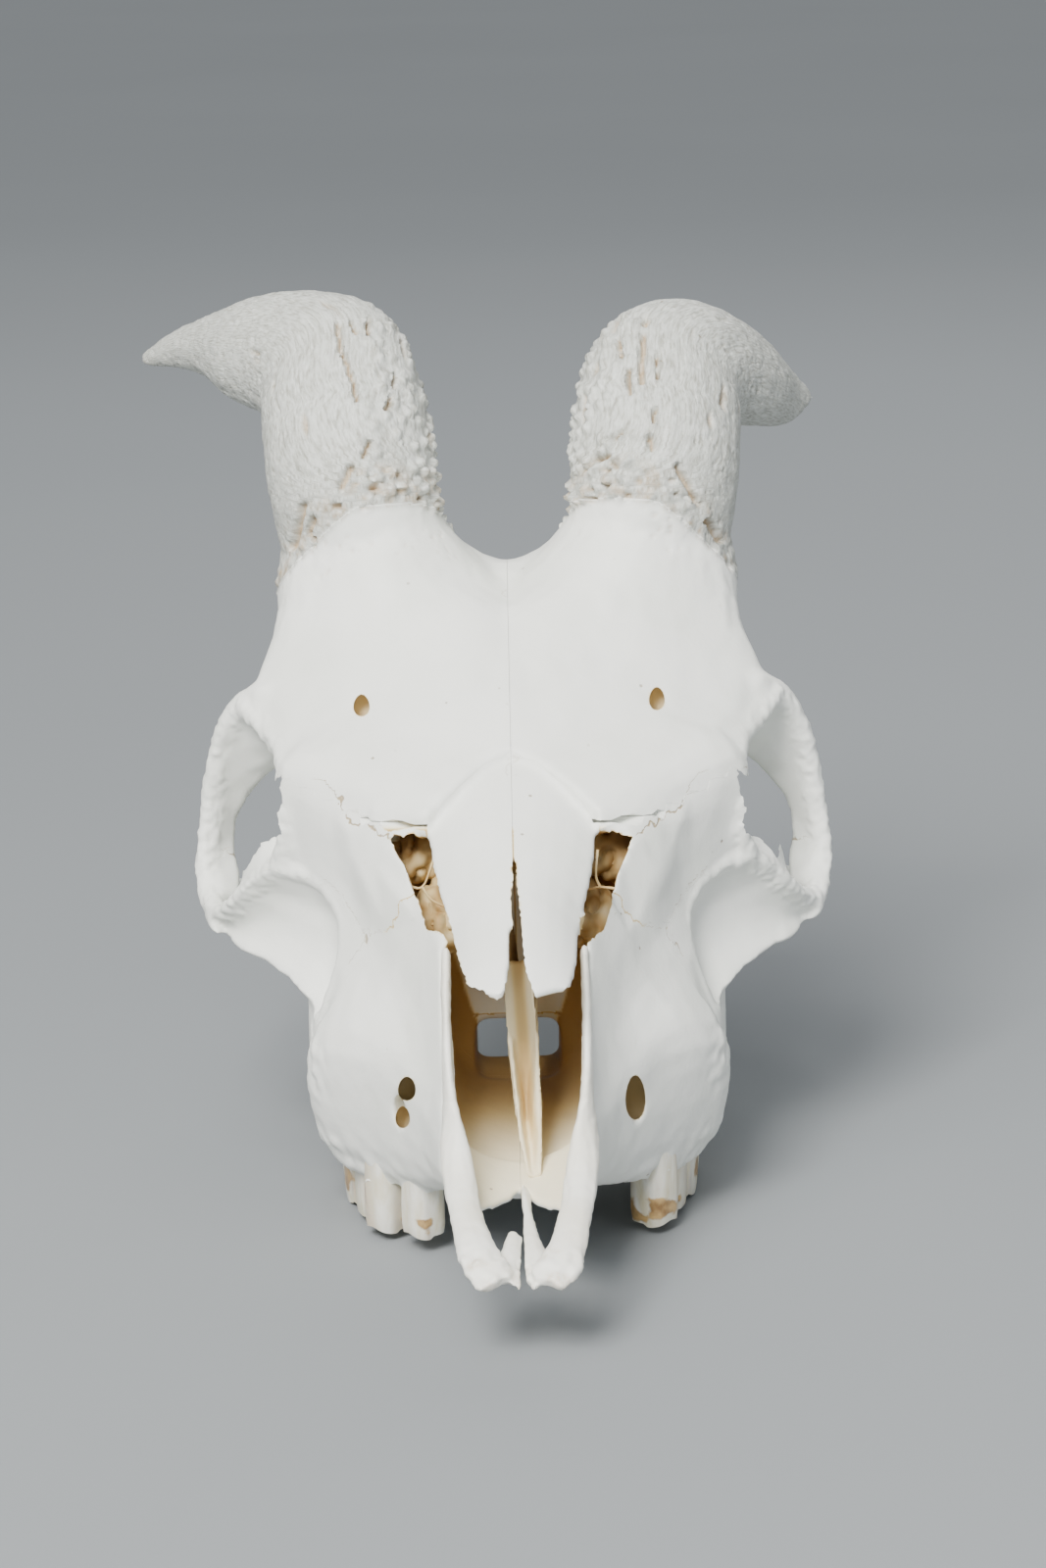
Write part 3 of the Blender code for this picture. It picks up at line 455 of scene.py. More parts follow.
def ripple(points, size, seed=0):
    """Smooth noise from -1 to 1, with bumps about size wide. size may be one number or three."""
    p = points / np.array(size)
    cell = np.floor(p).astype(np.int64)
    f = p - cell
    u = f * f * (3 - 2 * f)
    total = np.zeros(len(p))
    for corner in itertools.product((0, 1), repeat=3):
        weight = np.prod(np.where(np.array(corner) == 1, u, 1 - u), axis=1)
        total += weight * lattice_value(cell + np.array(corner), seed)
    return total * 2 - 1


def pits(points, size, seed=0):
    """The distance to the nearest of many scattered spots about size apart, as a share of size."""
    p = points / np.array(size)
    cell = np.floor(p).astype(np.int64)
    best = np.full(len(p), 9.0)
    for step in itertools.product((-1, 0, 1), repeat=3):
        c = cell + np.array(step)
        spot = c + np.stack([lattice_value(c, seed + k) for k in (1, 2, 3)], axis=1)
        best = np.minimum(best, ((p - spot) ** 2).sum(axis=1))
    return np.sqrt(best)


def fade(value, low, high):
    """0 below low, 1 above high and a smooth change between, or the other way round if low > high."""
    t = np.clip((value - low) / (high - low), 0, 1)
    return t * t * (3 - 2 * t)


def from_line(points, line):
    """The distance of points from a line of close samples, and the nearest sample's number."""
    tree = KDTree(len(line))
    for i, p in enumerate(line):
        tree.insert(p, i)
    tree.balance()
    found = [tree.find(p) for p in points]
    return np.array([f[2] for f in found]), np.array([f[1] for f in found])


def paint(mesh, layer, values):
    """Lays a value from 0 to 1 on each point of a mesh, for a material to read."""
    attribute = mesh.attributes.get(layer) or mesh.attributes.new(layer, "FLOAT", "POINT")
    attribute.data.foreach_set("value", np.clip(values, 0, 1).astype(np.float32))


# %% [markdown]
# The fused bones. A grown goat's braincase, face and jaw have knitted together, so the real surface runs
# on across the sutures. All those nodes are copied and joined, swollen a quarter of a millimetre so that
# the fine gaps between them close, and remade as one skin of small cells. Then the skin shrinks back.

# %% One skin over the fused bones
PAIRED = ("frontal", "horn_core", "lacrimal", "maxilla", "nasal", "palatine", "temporal", "zygomatic")
FUSED = [f"{bone}_{side}" for bone in PAIRED for side, _ in SIDES] + ["occipital", "parietal", "sphenoid"]
# Cell sizes, how far the skin swells to close the gaps, and how far it shrinks back, in mm.
CELL = 0.6
THIN_CELL = 0.35
SWELL = 0.25
SHRINK = 0.15
RELAX_ROUNDS = 14


def loft(name, rings):
    """A closed solid through rings of equally many places in the skull's own frame, flat at both ends."""
    count = len(rings[0])
    points = [p for ring in rings for p in ring]
    faces = [tuple(range(count)), tuple(range(len(points) - count, len(points)))]
    for low in range(0, len(points) - count, count):
        faces += [(low + i, low + (i + 1) % count, low + count + (i + 1) % count, low + count + i)
                  for i in range(count)]
    mesh = bpy.data.meshes.new(name)
    mesh.from_pydata([TO_FLOOR @ Vector(p) for p in points], [], faces)
    obj = bpy.data.objects.new(name, mesh)
    bpy.context.scene.collection.objects.link(obj)
    only(obj)
    bpy.ops.object.mode_set(mode="EDIT")
    bpy.ops.mesh.select_all(action="SELECT")
    bpy.ops.mesh.normals_make_consistent(inside=False)
    bpy.ops.object.mode_set(mode="OBJECT")
    return obj


VIEW_DISTANCE = 800.0


def seen_from_front(across, up, distance):
    """The place in the skull's own frame that the camera sees there."""
    share = distance / VIEW_DISTANCE
    return TO_SKULL @ (camera.matrix_world @ (Vector((across * share, up * share, -distance)) * MM))


def as_seen(points):
    """How far across and up points are as the camera sees them, in millimetres at 800 mm."""
    m = np.array(camera.matrix_world.inverted() @ TO_FLOOR)
    p = points @ m[:3, :3].T + m[:3, 3]
    return -p[:, 0] / p[:, 2] * VIEW_DISTANCE, -p[:, 1] / p[:, 2] * VIEW_DISTANCE


def front_form(outline, near, far, further=lambda u, v: 0):
    """A solid from an outline as seen from the front, between two distances that may vary with place."""
    return loft("front_form", [[seen_from_front(u, v, d + further(u, v)) for u, v in outline]
                               for d in (near, far)])


# The nose's floor: where the plate ends behind, and its front edge as how far out, how far back.
FLOOR_BACK = 52
FLOOR_EDGE = {1: [(0.3, 42), (1.5, 38.5), (3.4, 35), (6.5, 31.5), (8.5, 29), (10.3, 28.5)],
              -1: [(0.3, 42), (2, 38), (4, 35.4), (7, 31.5), (9, 30), (10.3, 29.5)]}


def floor_plate(side):
    """The thin front of the hard palate, which reaches forward beside the fissures."""
    rings = []
    for i in range(13):
        x = 0.3 + 10 * i / 12
        front = np.interp(x, *zip(*FLOOR_EDGE[side])) + rng.uniform(-0.4, 0.4)
        run = [front + (FLOOR_BACK - front) * j / 8 for j in range(9)]
        top = [(side * x, y, 25.4 + 4.8 * (x / 11) ** 2) for y in run]
        low = [(px, y, z - 1.5) for px, y, z in reversed(top)]
        rings.append(top + low)
    return loft("floor_plate", rings)


skin = copy_of(FUSED, "skin")
plates = [floor_plate(side) for _, side in SIDES]


def wall_slope(v):
    """How steeply the face falls away outwards beside the nose, by height."""
    return np.interp(v, (-29, -20, -12), (1.75, 1.15, 0.8))


# Thin walls beside the nose's openings: outline as seen from the front, distance, and how it grows.
for outline, near, further in (
        ([(-27.0, -11.7), (-24.2, -13.6), (-22.7, -15.4), (-21.2, -19.6), (-20.0, -23.0), (-19.1, -25.4),
          (-18.7, -28.6), (-20.4, -30.5), (-24.2, -30.5), (-27.8, -23.5), (-28.1, -16.0)],
         807.8, lambda u, v: -wall_slope(v) * (u + 27)),
        ([(22.9, -10.9), (21.0, -10.2), (19.3, -14.3), (17.8, -17.9), (17.0, -23.0), (16.1, -26.2),
          (15.5, -28.2), (18.2, -30.5), (21.9, -29.2), (25.3, -23.5), (25.7, -16.0)],
         807.7, lambda u, v: wall_slope(v) * (u - 23.5)),
        ([(-29.3, -4.9), (-18.2, -4.6), (-18.2, -9.0), (-29.3, -9.4)], 805.3, lambda u, v: -0.5 * (u + 19)),
        ([(14.6, -4.6), (25.3, -4.9), (25.3, -9.4), (14.6, -9.0)], 805.2, lambda u, v: 0.56 * (u - 15.5))):
    plates.append(front_form(outline, near, near + 3.5, further))
swell(joined(skin, *plates), SWELL)
fine_skin(skin, CELL, RELAX_ROUNDS)
swell(skin, -SHRINK)
print("skin faces:", len(skin.data.polygons), "after", round(time.time() - START, 1), "s")

# %% [markdown]
# Sculpting. A vertex is moved along its own normal by a few tenths of a millimetre. What it does depends
# on where it is: the orbit's rim is beaded, the forehead is smooth and gently uneven, and the horn
# cores, which carried the living horn, are grooved, pitted and full of pores near the base.

# %% Where the horn cores are
HORN_LINES = {
    1: [(29.5, 159, 99), (30.5, 163, 120), (32.0, 173, 131.5), (34.5, 182, 137.2), (41.5, 192, 136.8),
        (51.5, 202, 129.6), (59.6, 212, 121.4), (66.0, 219, 115.4), (73.4, 227.5, 108.6)],
    -1: [(-29.5, 159, 99), (-31, 163, 120), (-33.1, 173, 132.5), (-35.8, 182, 140.2), (-43.5, 192, 140.4),
         (-53.5, 202, 138.4), (-62.5, 212, 136.2), (-69.8, 219, 133.2), (-78.8, 225, 128.8)],
}


def horn_base(x, y):
    """The height of the line where a horn core grows from the forehead. It falls away outwards."""
    return 121.0 - 0.195 * (x - 31) - 0.65 * np.maximum(0, x - 31) - 0.805 * (y - 149.5)


def above_horn_base(points, side):
    """Roughly how far points lie above a horn core's base."""
    return 0.75 * (points[:, 2] - horn_base(points[:, 0] * side, points[:, 1]))


def round_the_core(points, side):
    """Places on a core unrolled: the way round it as two shares, its thickness and how far along it."""
    line = curve_through(HORN_LINES[side], 160)
    _, nearest = from_line(points, line)
    line = np.array(line)
    ahead = np.gradient(line, axis=0)
    ahead /= np.linalg.norm(ahead, axis=1)[:, None]
    along = np.concatenate([[0], np.cumsum(np.linalg.norm(np.diff(line, axis=0), axis=1))])
    away = points - line[nearest]
    across = np.cross(ahead, np.array([0.0, 0.35, 1.0]))
    across /= np.linalg.norm(across, axis=1)[:, None]
    third = np.cross(across, ahead)
    turn = np.arctan2((away * third[nearest]).sum(axis=1), (away * across[nearest]).sum(axis=1))
    girth = np.linalg.norm(away, axis=1)
    return np.cos(turn), np.sin(turn), girth, along[nearest] + (away * ahead[nearest]).sum(axis=1)


# %% Sculpt the horn cores
# Slits and pits seen on the cores from the front: half width and course.
SLITS = [
    (0.45, [(-35.7, 88.6), (-35.2, 84.5), (-34.1, 81.5), (-32.9, 78.0), (-31.9, 73.9)]),
    (0.4, [(-32.8, 88.9), (-31.9, 86.8)]), (0.4, [(-29.8, 89.2), (-29.6, 86.6)]),
    (0.4, [(-24.7, 78.8), (-24.7, 76.2)]), (0.45, [(-25.2, 74.5), (-26.1, 72.2)]),
    (0.5, [(-29.4, 65.7), (-30.6, 63.1)]), (0.8, [(-33.4, 60.4), (-34.7, 57.2)]),
    (0.7, [(-42.5, 53.3), (-44.3, 45.7)]), (0.6, [(-40.4, 51.0), (-41.4, 48.0)]),
    (0.65, [(23.1, 86.6), (22.9, 82.1), (22.8, 77.4)]), (0.75, [(23.6, 89.4), (23.6, 89.0)]),
    (0.45, [(20.2, 79.5), (20.5, 75.3)]), (0.4, [(18.4, 85.7), (18.9, 82.1)]),
    (0.4, [(25.5, 82.1), (25.7, 78.0)]), (0.75, [(24.5, 66.4), (24.8, 64.8)]),
    (0.45, [(25.5, 72.1), (25.2, 69.8)]), (0.6, [(29.8, 61.0), (33.3, 54.5)]),
    (0.7, [(35.7, 50.4), (38.0, 46.9)]), (0.5, [(13.9, 62.3), (16.3, 63.1)]),
    (0.45, [(17.7, 66.6), (18.9, 67.8)])]
ORBIT_RIM = [
    (45.0, 109.5, 66), (44.8, 110.5, 73), (44.6, 116, 79.5), (46.5, 124, 81.5), (50.5, 132, 83.5),
    (54.2, 137.5, 83), (58.0, 139.5, 78), (60.1, 140.3, 72), (61.6, 140.3, 64), (62.8, 139.3, 56.3),
    (63.6, 137, 50.3), (63.2, 133, 45.3), (61.2, 126, 43.6), (58.2, 120.5, 46), (54.6, 116.5, 51),
    (50.6, 113.3, 56), (46.9, 111, 60.3), (45.0, 109.5, 66),
]


def from_marks(points, marks):
    """How far points lie from marks seen from the front, in half widths."""
    u, v = as_seen(points)
    best = np.full(len(points), 9.0)
    for wide, line in marks:
        for (a, b), (c, d) in zip(line, line[1:]):
            t = ((u - a) * (c - a) + (v - b) * (d - b)) / ((c - a) ** 2 + (d - b) ** 2)
            t = np.clip(t, 0, 1)
            best = np.minimum(best, np.hypot(u - a - t * (c - a), v - b - t * (d - b)) / wide)
    return best


# How deep a core's grain, grooves, pits and slits are, and how high its beads stand, in mm.
GROOVE, GRAIN, WAVE, GRIT = 0.08, 0.13, 0.10, 0.32
SLIT_DEPTH, PIT_DEPTH, MARK_DEPTH = 1.1, 1.4, 1.6
EDGE_BEAD, BASE_BEAD, BEAD_GAP = 0.9, 0.35, 0.35


def sculpt_core(points, side):
    """How far a core's points move outwards, how stained they are, how much painted shade with some stain their
    pits and slits get, and their place unrolled.
    """
    above = above_horn_base(points, side)
    cosine, sine, girth, along = round_the_core(points, side)
    unrolled = np.stack([cosine * 13, sine * 13, along], axis=1)
    fine = ripple(unrolled, (1.6, 1.6, 9), 12)
    rough = ripple(points, 1.8, 13)
    front = fade(points[:, 1], 198, 176)
    medial = fade(-side * (points[:, 0] - side * 33), 1, 9)
    band = fade(above, 10, 1.5) * fade(above, -2.0, 0)
    grit = fade(pits(points, 1.7, 27), 0.36, 0.16)
    move = GROOVE * fine + GRAIN * rough + WAVE * ripple(unrolled, (4.5, 4.5, 24), 19) - GRIT * grit
    slit = fade(pits(unrolled, (3.6, 3.6, 17), 14), 0.24, 0.1) * front
    slit *= fade(ripple(points, 8, 15) + 0.7 * medial, 0.0, 0.5) * fade(above, 3, 8)
    hole = fade(pits(unrolled, (3.4, 3.4, 4.6), 24), 0.34, 0.18) * band
    move -= SLIT_DEPTH * slit + PIT_DEPTH * hole
    beads = fade(pits(points, 2.6, 17), 0.6, 0.15)
    nodes = np.clip(medial * front * fade(above, 0, 6) * fade(points[:, 2], 140, 128) + 0.6 * band, 0, 1)
    move += beads * (EDGE_BEAD * medial * front + BASE_BEAD * band) - BEAD_GAP * nodes * (1 - beads)
    tip = fade(along, 88, 120)
    patch = fade(ripple(points, 12, 18), 0.15, 0.6)
    stain = 0.35 * tip * patch + 0.5 * band * fade(rough, -0.1, 0.4)
    return move, np.clip(stain, 0, 1), np.clip(hole + 0.8 * slit, 0, 1), unrolled / (0.5, 0.5, 2.0)


points = in_skull(skin.data)
out = normals_in_skull(skin.data)
move = 0.12 * ripple(points, 9, 1) + 0.05 * ripple(points, 3, 2)
stain, pit_shade_and_stain, core = np.zeros((3, len(points)))
unrolled = points.copy()
for _, side in SIDES:
    above = above_horn_base(points, side)
    near = np.flatnonzero((above > -16) & (points[:, 0] * side > 2) & (points[:, 2] > 88))
    step, dirt, pit_shade_share, flat = sculpt_core(points[near], side)
    share = fade(above[near], -1.5, 0.5)
    brow = fade(above[near], -16, -3) * fade(points[near][:, 1], 158, 150) * (1 - share)
    pricks = fade(pits(points[near], 2.2, 41), 0.3, 0.12) * fade(ripple(points[near], 11, 42), -0.1, 0.5)
    mark = from_marks(points[near] + ripple(points[near], 1.6, 44)[:, None] * 0.3, SLITS)
    ahead = share * (out[near][:, 1] < -0.1)
    step = step - MARK_DEPTH * fade(mark, 1.4, 0.5) * ahead
    pit_shade_share = np.maximum(pit_shade_share, fade(mark, 1.0, 0.3) * ahead)
    move[near] = move[near] * (1 - share) + step * share
    move[near] += brow * (0.14 * ripple(points[near], 1.8, 43) - 0.5 * pricks)
    stain[near] = dirt * share
    # Pits, slits and pricks are painted brown at the bottom: painted shade, with some stain.
    pit_shade_and_stain[near] = pit_shade_share * share + 0.4 * pricks * brow
    core[near] = share
    unrolled[near] = flat
print("horn cores sculpted after", round(time.time() - START, 1), "s")

# %% [markdown]
# The rim of each eye socket is beaded like a cord, with beads about 1.5 mm long. The cheek has a sharp
# crest below it, which curls down towards the teeth. The gum's edge is knobbly, where it held the roots.

# %% Sculpt the rims, the cheek crests and the gum's edge
BROW_EDGE = [(54, 136, 85), (51.2, 130, 83), (48.2, 126, 81), (45.6, 121, 80.5), (44.8, 116, 80.5)]
CHEEK_CREST = [(46.5, 110.5, 60.5), (40, 106, 60.2), (36, 102, 58.5), (33.5, 98, 55), (33.2, 95, 50),
               (35.5, 92.5, 43), (38.5, 90, 37)]


# How high the beads and crests stand, and how deep the cheek is hollowed, in mm.
RIM_BEAD, CREST, BROW, CHEEK_HOLLOW, GUM_KNOB, TUBER_KNOB = 0.42, 0.9, 0.7, 0.6, 0.5, 0.35


def both(points, side):
    """A line of places on the left, or its mirror image."""
    return [Vector((p[0] * side, p[1], p[2])) for p in points]


for _, side in SIDES:
    near = np.flatnonzero((points[:, 0] * side > 28) & (points[:, 1] > 84) & (points[:, 1] < 147)
                          & (points[:, 2] > 32) & (points[:, 2] < 92))
    away, _ = from_line(points[near], both(curve_through(ORBIT_RIM, 240), side))
    beads = ripple(points[near], 1.2, 21) + 0.5 * ripple(points[near], 2.4, 22)
    move[near] += RIM_BEAD * beads * fade(away, 3.4, 1.4)
    away, _ = from_line(points[near], both(curve_through(CHEEK_CREST, 120), side))
    move[near] += (CREST + 0.4 * ripple(points[near], 1.8, 24)) * fade(away, 2.6, 0.5)
    brow, _ = from_line(points[near], both(curve_through(BROW_EDGE, 90), side))
    move[near] += (BROW + 0.5 * ripple(points[near], 1.5, 26)) * fade(brow, 2.2, 0.4)
    hollow = fade(away, 2.2, 5) * fade(away, 12, 6) * fade(points[near][:, 2], 58, 52)
    move[near] -= CHEEK_HOLLOW * hollow * fade(points[near][:, 0] * side, 34, 38)
gum_edge = fade(points[:, 2], 22, 12) * fade(points[:, 1], 122, 114) * fade(np.abs(points[:, 0]), 10, 14)
move += GUM_KNOB * gum_edge * ripple(points, 2.6, 23)
tuber = fade(np.linalg.norm((np.abs(points[:, 0]) - 41, points[:, 1] - 82, points[:, 2] - 31), axis=0), 11, 4)
move += TUBER_KNOB * tuber * ripple(points, 1.9, 25)
put_back(skin.data, points + out * move[:, None])
# The layer at holes holds painted shade with some stain at the bottoms of pits and slits.
for layer, values in (("stain", stain), ("pit_shade_and_stain", pit_shade_and_stain), ("core", core), ("kept", np.ones(len(points)))):
    paint(skin.data, layer, values)
space = skin.data.attributes.new("core_space", "FLOAT_VECTOR", "POINT")
space.data.foreach_set("vector", unrolled.astype(np.float32).ravel())
print("skin sculpted after", round(time.time() - START, 1), "s")

# %% [markdown]
# Sutures are lines through a few places on the bones, as found on this skull, mirrored where both sides
# have them. A vertex stores how far the line lies to its left or right.

# %% Lay the sutures
LACRIMAL_TOP = [(47, 113.5, 78.5), (43, 112, 78.7), (38, 108, 80.4), (35, 104, 80.6), (33, 100, 77.8),
                (30.4, 96, 76.6), (27, 92, 76.3), (24, 88.5, 76.2)]
CHEEK_TOP = [(36.8, 104, 62), (33.8, 100, 60.3), (31.4, 96, 58.5), (29, 92, 56.8), (28.5, 88, 55),
             (32.2, 88, 49)]
JAW_TOP = [(28, 87, 56), (26.3, 86, 57), (22.3, 82, 60), (19.5, 80, 62), (17, 74, 66)]
MIDLINE = [(0, 150, 103), (0, 138, 101), (0, 126, 98), (0, 114, 93.5), (0, 104, 89), (0, 96, 85.5)]
BAR_CRACK = [(66, 137, 50), (62, 139.5, 50.2), (57, 139.5, 49)]
SUTURES = {1: [(LACRIMAL_TOP, 1, 1.0), (LACRIMAL_TOP, -1, 1.0), (BAR_CRACK, 1, 0.9), (BAR_CRACK, -1, 0.9)],
           2: [(CHEEK_TOP, 1, 0.8), (CHEEK_TOP, -1, 0.8), (MIDLINE, 1, 0.25)],
           3: [(JAW_TOP, 1, 0.7), (JAW_TOP, -1, 0.7)]}


def lay_sutures(mesh):
    points = in_skull(mesh)
    out = normals_in_skull(mesh)
    for number, lines in SUTURES.items():
        apart = np.ones(len(points))
        on = np.zeros(len(points))
        for places, side, strength in lines:
            line = curve_through(both(places, side), 100)
            low = np.min(line, axis=0) - SEAM_REACH
            high = np.max(line, axis=0) + SEAM_REACH
            near = np.flatnonzero(np.all((points > low) & (points < high), axis=1))
            if not len(near):
                continue
            away, nearest = from_line(points[near], line)
            ahead = np.gradient(np.array(line), axis=0)[nearest]
            left = np.cross(out[near], ahead)
            sign = np.sign(((points[near] - np.array(line)[nearest]) * left).sum(axis=1))
            apart[near] = 0.5 + 0.5 * sign * np.minimum(away / SEAM_REACH, 1)
            on[near] = strength * fade(away, 2.8, 2.0) * ((nearest > 1) & (nearest < 98))
        paint(mesh, f"seam_{number}", apart)
        paint(mesh, f"on_{number}", on)


lay_sutures(skin.data)
print("sutures laid after", round(time.time() - START, 1), "s")

# %% [markdown]
# Openings. Those in the face were measured from the front, so their tools are outlines in millimetres as
# seen from the camera, 800 mm away, and each tool widens with distance as the view does. Crooked edges
# come from points every half millimetre, moved a little at random.

# %% Cut the openings in the face
VACUITY_LEFT = [
    (-25.3, -10.7), (-24.6, -9.6), (-22.9, -10.2), (-21.4, -9.4), (-19.9, -10.2), (-18.7, -11.1),
    (-17.8, -13.6), (-17.2, -15.8), (-15.7, -22.0), (-14.0, -26.9), (-12.7, -32.6), (-11.6, -36.0),
    (-10.4, -38.8), (-12.7, -38.8), (-13.3, -34.1), (-14.2, -31.4), (-15.0, -29.4), (-16.1, -28.4),
    (-18.7, -28.0), (-19.1, -25.4), (-20.0, -23.0), (-21.2, -19.6), (-22.7, -15.4), (-24.2, -13.2)]
VACUITY_RIGHT = [
    (14.6, -10.0), (15.5, -9.4), (17.4, -9.0), (18.9, -9.8), (21.0, -10.2), (19.3, -14.3), (17.8, -17.9),
    (17.0, -23.0), (16.1, -26.2), (15.5, -27.9), (13.8, -29.4), (12.3, -30.7), (11.8, -33.9),
    (11.2, -37.6), (9.5, -38.4), (10.6, -35.0), (11.4, -27.5), (12.9, -21.1), (13.8, -15.6), (14.4, -12.0)]
NASAL_GAP = [
    (-1.8, -14.3), (-1.2, -15.8), (-1.4, -18.3), (-1.0, -20.7), (-0.5, -24.5), (-0.1, -29.4), (0.3, -34.3),
    (1.2, -37.6), (2.4, -40.8), (3.5, -43.3), (-4.0, -43.7), (-3.3, -39.5), (-2.4, -34.3), (-2.0, -27.5),
    (-2.4, -21.6), (-1.8, -18.3), (-2.2, -15.8)]
NASAL_TIPS = [
    [(-14.2, -33.3), (-12.9, -33.3), (-11.3, -38.3), (-9.8, -39.2), (-7.9, -39.5), (-5.4, -41.7),
     (-4.1, -41.4), (-2.9, -37.5), (-2.9, -46), (-14.2, -46)],
    [(0.6, -37.0), (2.5, -41.1), (3.7, -41.9), (6.2, -40.2), (9.4, -38.9), (10.4, -35.8), (10.8, -32.0),
     (12.0, -32.0), (12.0, -46), (0.6, -46)]]
ORBIT_LEFT = [
    (-46.2, 1.9), (-49.2, -0.6), (-52.4, -1.9), (-54.3, -4.7), (-55.1, -8.3), (-54.5, -12.4),
    (-54.3, -16.9), (-53.4, -16.9), (-52.8, -15.6), (-50.2, -11.5), (-46.4, -9.6), (-46.8, -8.1),
    (-47.2, -5.6), (-46.2, -3.2), (-46.6, -0.8)]
ORBIT_RIGHT = [
    (41.1, 3.0), (44.3, 0.8), (47.9, -1.5), (49.6, -3.8), (49.4, -8.3), (49.0, -14.7), (47.9, -12.8),
    (45.5, -10.5), (42.6, -9.4), (42.1, -7.3), (42.8, -4.7), (41.7, -1.1)]
# Nerve holes: middle, half width, half height, near and far end.
NERVE_HOLES = [
    ((-31.0, 15.1), 1.45, 2.1, 812, 834.5), ((25.7, 16.4), 1.4, 2.2, 812, 834.5),
    ((-22.3, -58.5), 1.6, 2.3, 775, 809), ((-23.1, -64.0), 1.3, 2.1, 775, 808),
    ((21.6, -60.2), 1.8, 4.3, 775, 809)]


def ragged(outline, amount):
    """The same outline with points every half millimetre or so, each moved at random."""
    run = []
    for a, b in zip(outline, outline[1:] + outline[:1]):
        a, b = Vector(a), Vector(b)
        count = max(1, round((b - a).length / 0.55))
        run += [a.lerp(b, i / count) + Vector((rng.gauss(0, amount), rng.gauss(0, amount)))
                for i in range(count)]
    return run


tools = [front_form(ragged(outline, 0.1), 750, 818) for outline in (VACUITY_LEFT, VACUITY_RIGHT)]
gap = front_form(ragged(NASAL_GAP, 0.1), 745, 812)
tips = [front_form(ragged(outline, 0.12), 740, 777) for outline in NASAL_TIPS]
tools += [front_form(ragged(outline, 0.12), 800, 1000) for outline in (ORBIT_LEFT, ORBIT_RIGHT)]
for (u, v), wide, high, near, far in NERVE_HOLES:
    ring = [(u + wide * math.cos(a) * (1.06 - 0.14 * math.sin(a)), v + high * math.sin(a))
            for a in (2 * math.pi * i / 20 for i in range(20))]
    tools.append(front_form(ring, near, far))
# Tools that don't meet cut together, which is much quicker than one by one.
for group in (tools, [gap], tips):
    cut(skin, joined(*group))
paint(skin.data, "edge", 1 - read(skin.data.attributes["kept"].data, "value", -1))
print("openings cut after", round(time.time() - START, 1), "s")

# %% [markdown]
# The teeth are taken off the jaw below the gum and made anew, so the jaw ends in a crooked edge there.
# The sockets of the lost front teeth are small pits.

# %% Take the teeth off the jaw
GUM = [(52, 13.0), (62, 13.6), (70, 11.0), (78, 7.8), (86, 6.2), (95, 5.6), (108, 8.0), (118, 11.5),
       (118, -40), (52, -40)]
# Sockets: how far out, back, and how wide.
SOCKETS = [(18.6, 63, 2.9), (20.3, 68, 2.2), (16.6, 57.5, 2.2), (-16.2, 57, 2.2)]


def along_x(outline, low, high):
    """A bar along x with an outline of (y, z)."""
    return loft("bar", [[(x, y, z) for y, z in outline] for x in (low, high)])


bars = []
for _, side in SIDES:
    edge = [(y, z + 0.5 * math.sin(y * 2.1) * rng.uniform(0.2, 1)) for y, z in zip(
        np.arange(52, 118, 1.0), np.interp(np.arange(52, 118, 1.0), *zip(*GUM[:-2])))]
    start, end = sorted((14.6 * side, 62 * side))
    bars.append(along_x([*edge, *GUM[-2:]], start, end))
sockets = []
for x, y, wide in SOCKETS:
    rings = [[(x + r * math.cos(a), y + r * math.sin(a), z) for a in (0.52 * i for i in range(12))]
             for r, z in ((wide, 2), (wide * 0.9, 15), (wide * 0.5, 21))]
    sockets.append(loft("socket", rings))
for group in (bars, sockets):
    cut(skin, joined(*group))
print("teeth off after", round(time.time() - START, 1), "s")

# %% [markdown]
# Parting the skin. Each bone is cut free by a block whose outline is the bone's, seen from the side. The
# block's walls zigzag as a suture does, and the rest is cut by the same block a hair bigger. The bones
# that come last simply keep what is left.

# %% Crooked blocks for the sutures
SEAM = 0.03
FAR = 130.0
BLOCKS = [
    ("temporal", True, 12.5, FAR, 0.5,
     [(151, 54), (150, 34), (140, 24), (150, 4), (166, -14), (186.5, -14), (186.5, 22), (194, 34), (190, 56),
      (172, 63)]),
    ("occipital", False, -FAR, FAR, 0.6,
     [(196, 90), (197, 56), (186, 40), (184, 14), (167, 12), (160, -45), (230, -45), (230, 90)]),
    ("parietal", False, -60, 60, 0.8, [(171.5, 150), (171, 96), (166, 58), (200, 40), (206, 45), (206, 150)]),
    ("zygomatic", True, 26, FAR, 0.35,
     [(85, 52), (92, 57), (100, 60.5), (110, 60), (122, 48), (160, 54), (156, 10), (112, 26), (104, 33),
      (92, 35), (86, 44)]),
    ("lacrimal", True, 13.5, FAR, 0.9,
     [(79, 62), (85.5, 57.4), (92, 57), (100, 60.5), (110, 60), (124, 52), (124, 79), (108, 80), (96, 77.5),
      (86, 77.5), (79, 72)]),
    ("palatine", True, SEAM, 24, 0.3,
     [(97, 0), (97, 30), (128, 30), (156, 22), (156, -20), (120, -20), (112, 0)]),
    ("sphenoid", False, -40, 40, 0.4, [(122, 66), (122, -30), (230, -30), (230, 66)]),
    ("maxilla", True, SEAM, FAR, 0.5,
     [(30, -30), (30, 80), (86, 80), (96, 77.5), (97, 66), (110, 56), (126, 50), (126, -30)]),
    ("frontal", True, SEAM, FAR, 0.0, [(60, -60), (60, 220), (260, 220), (260, -60)]),
]


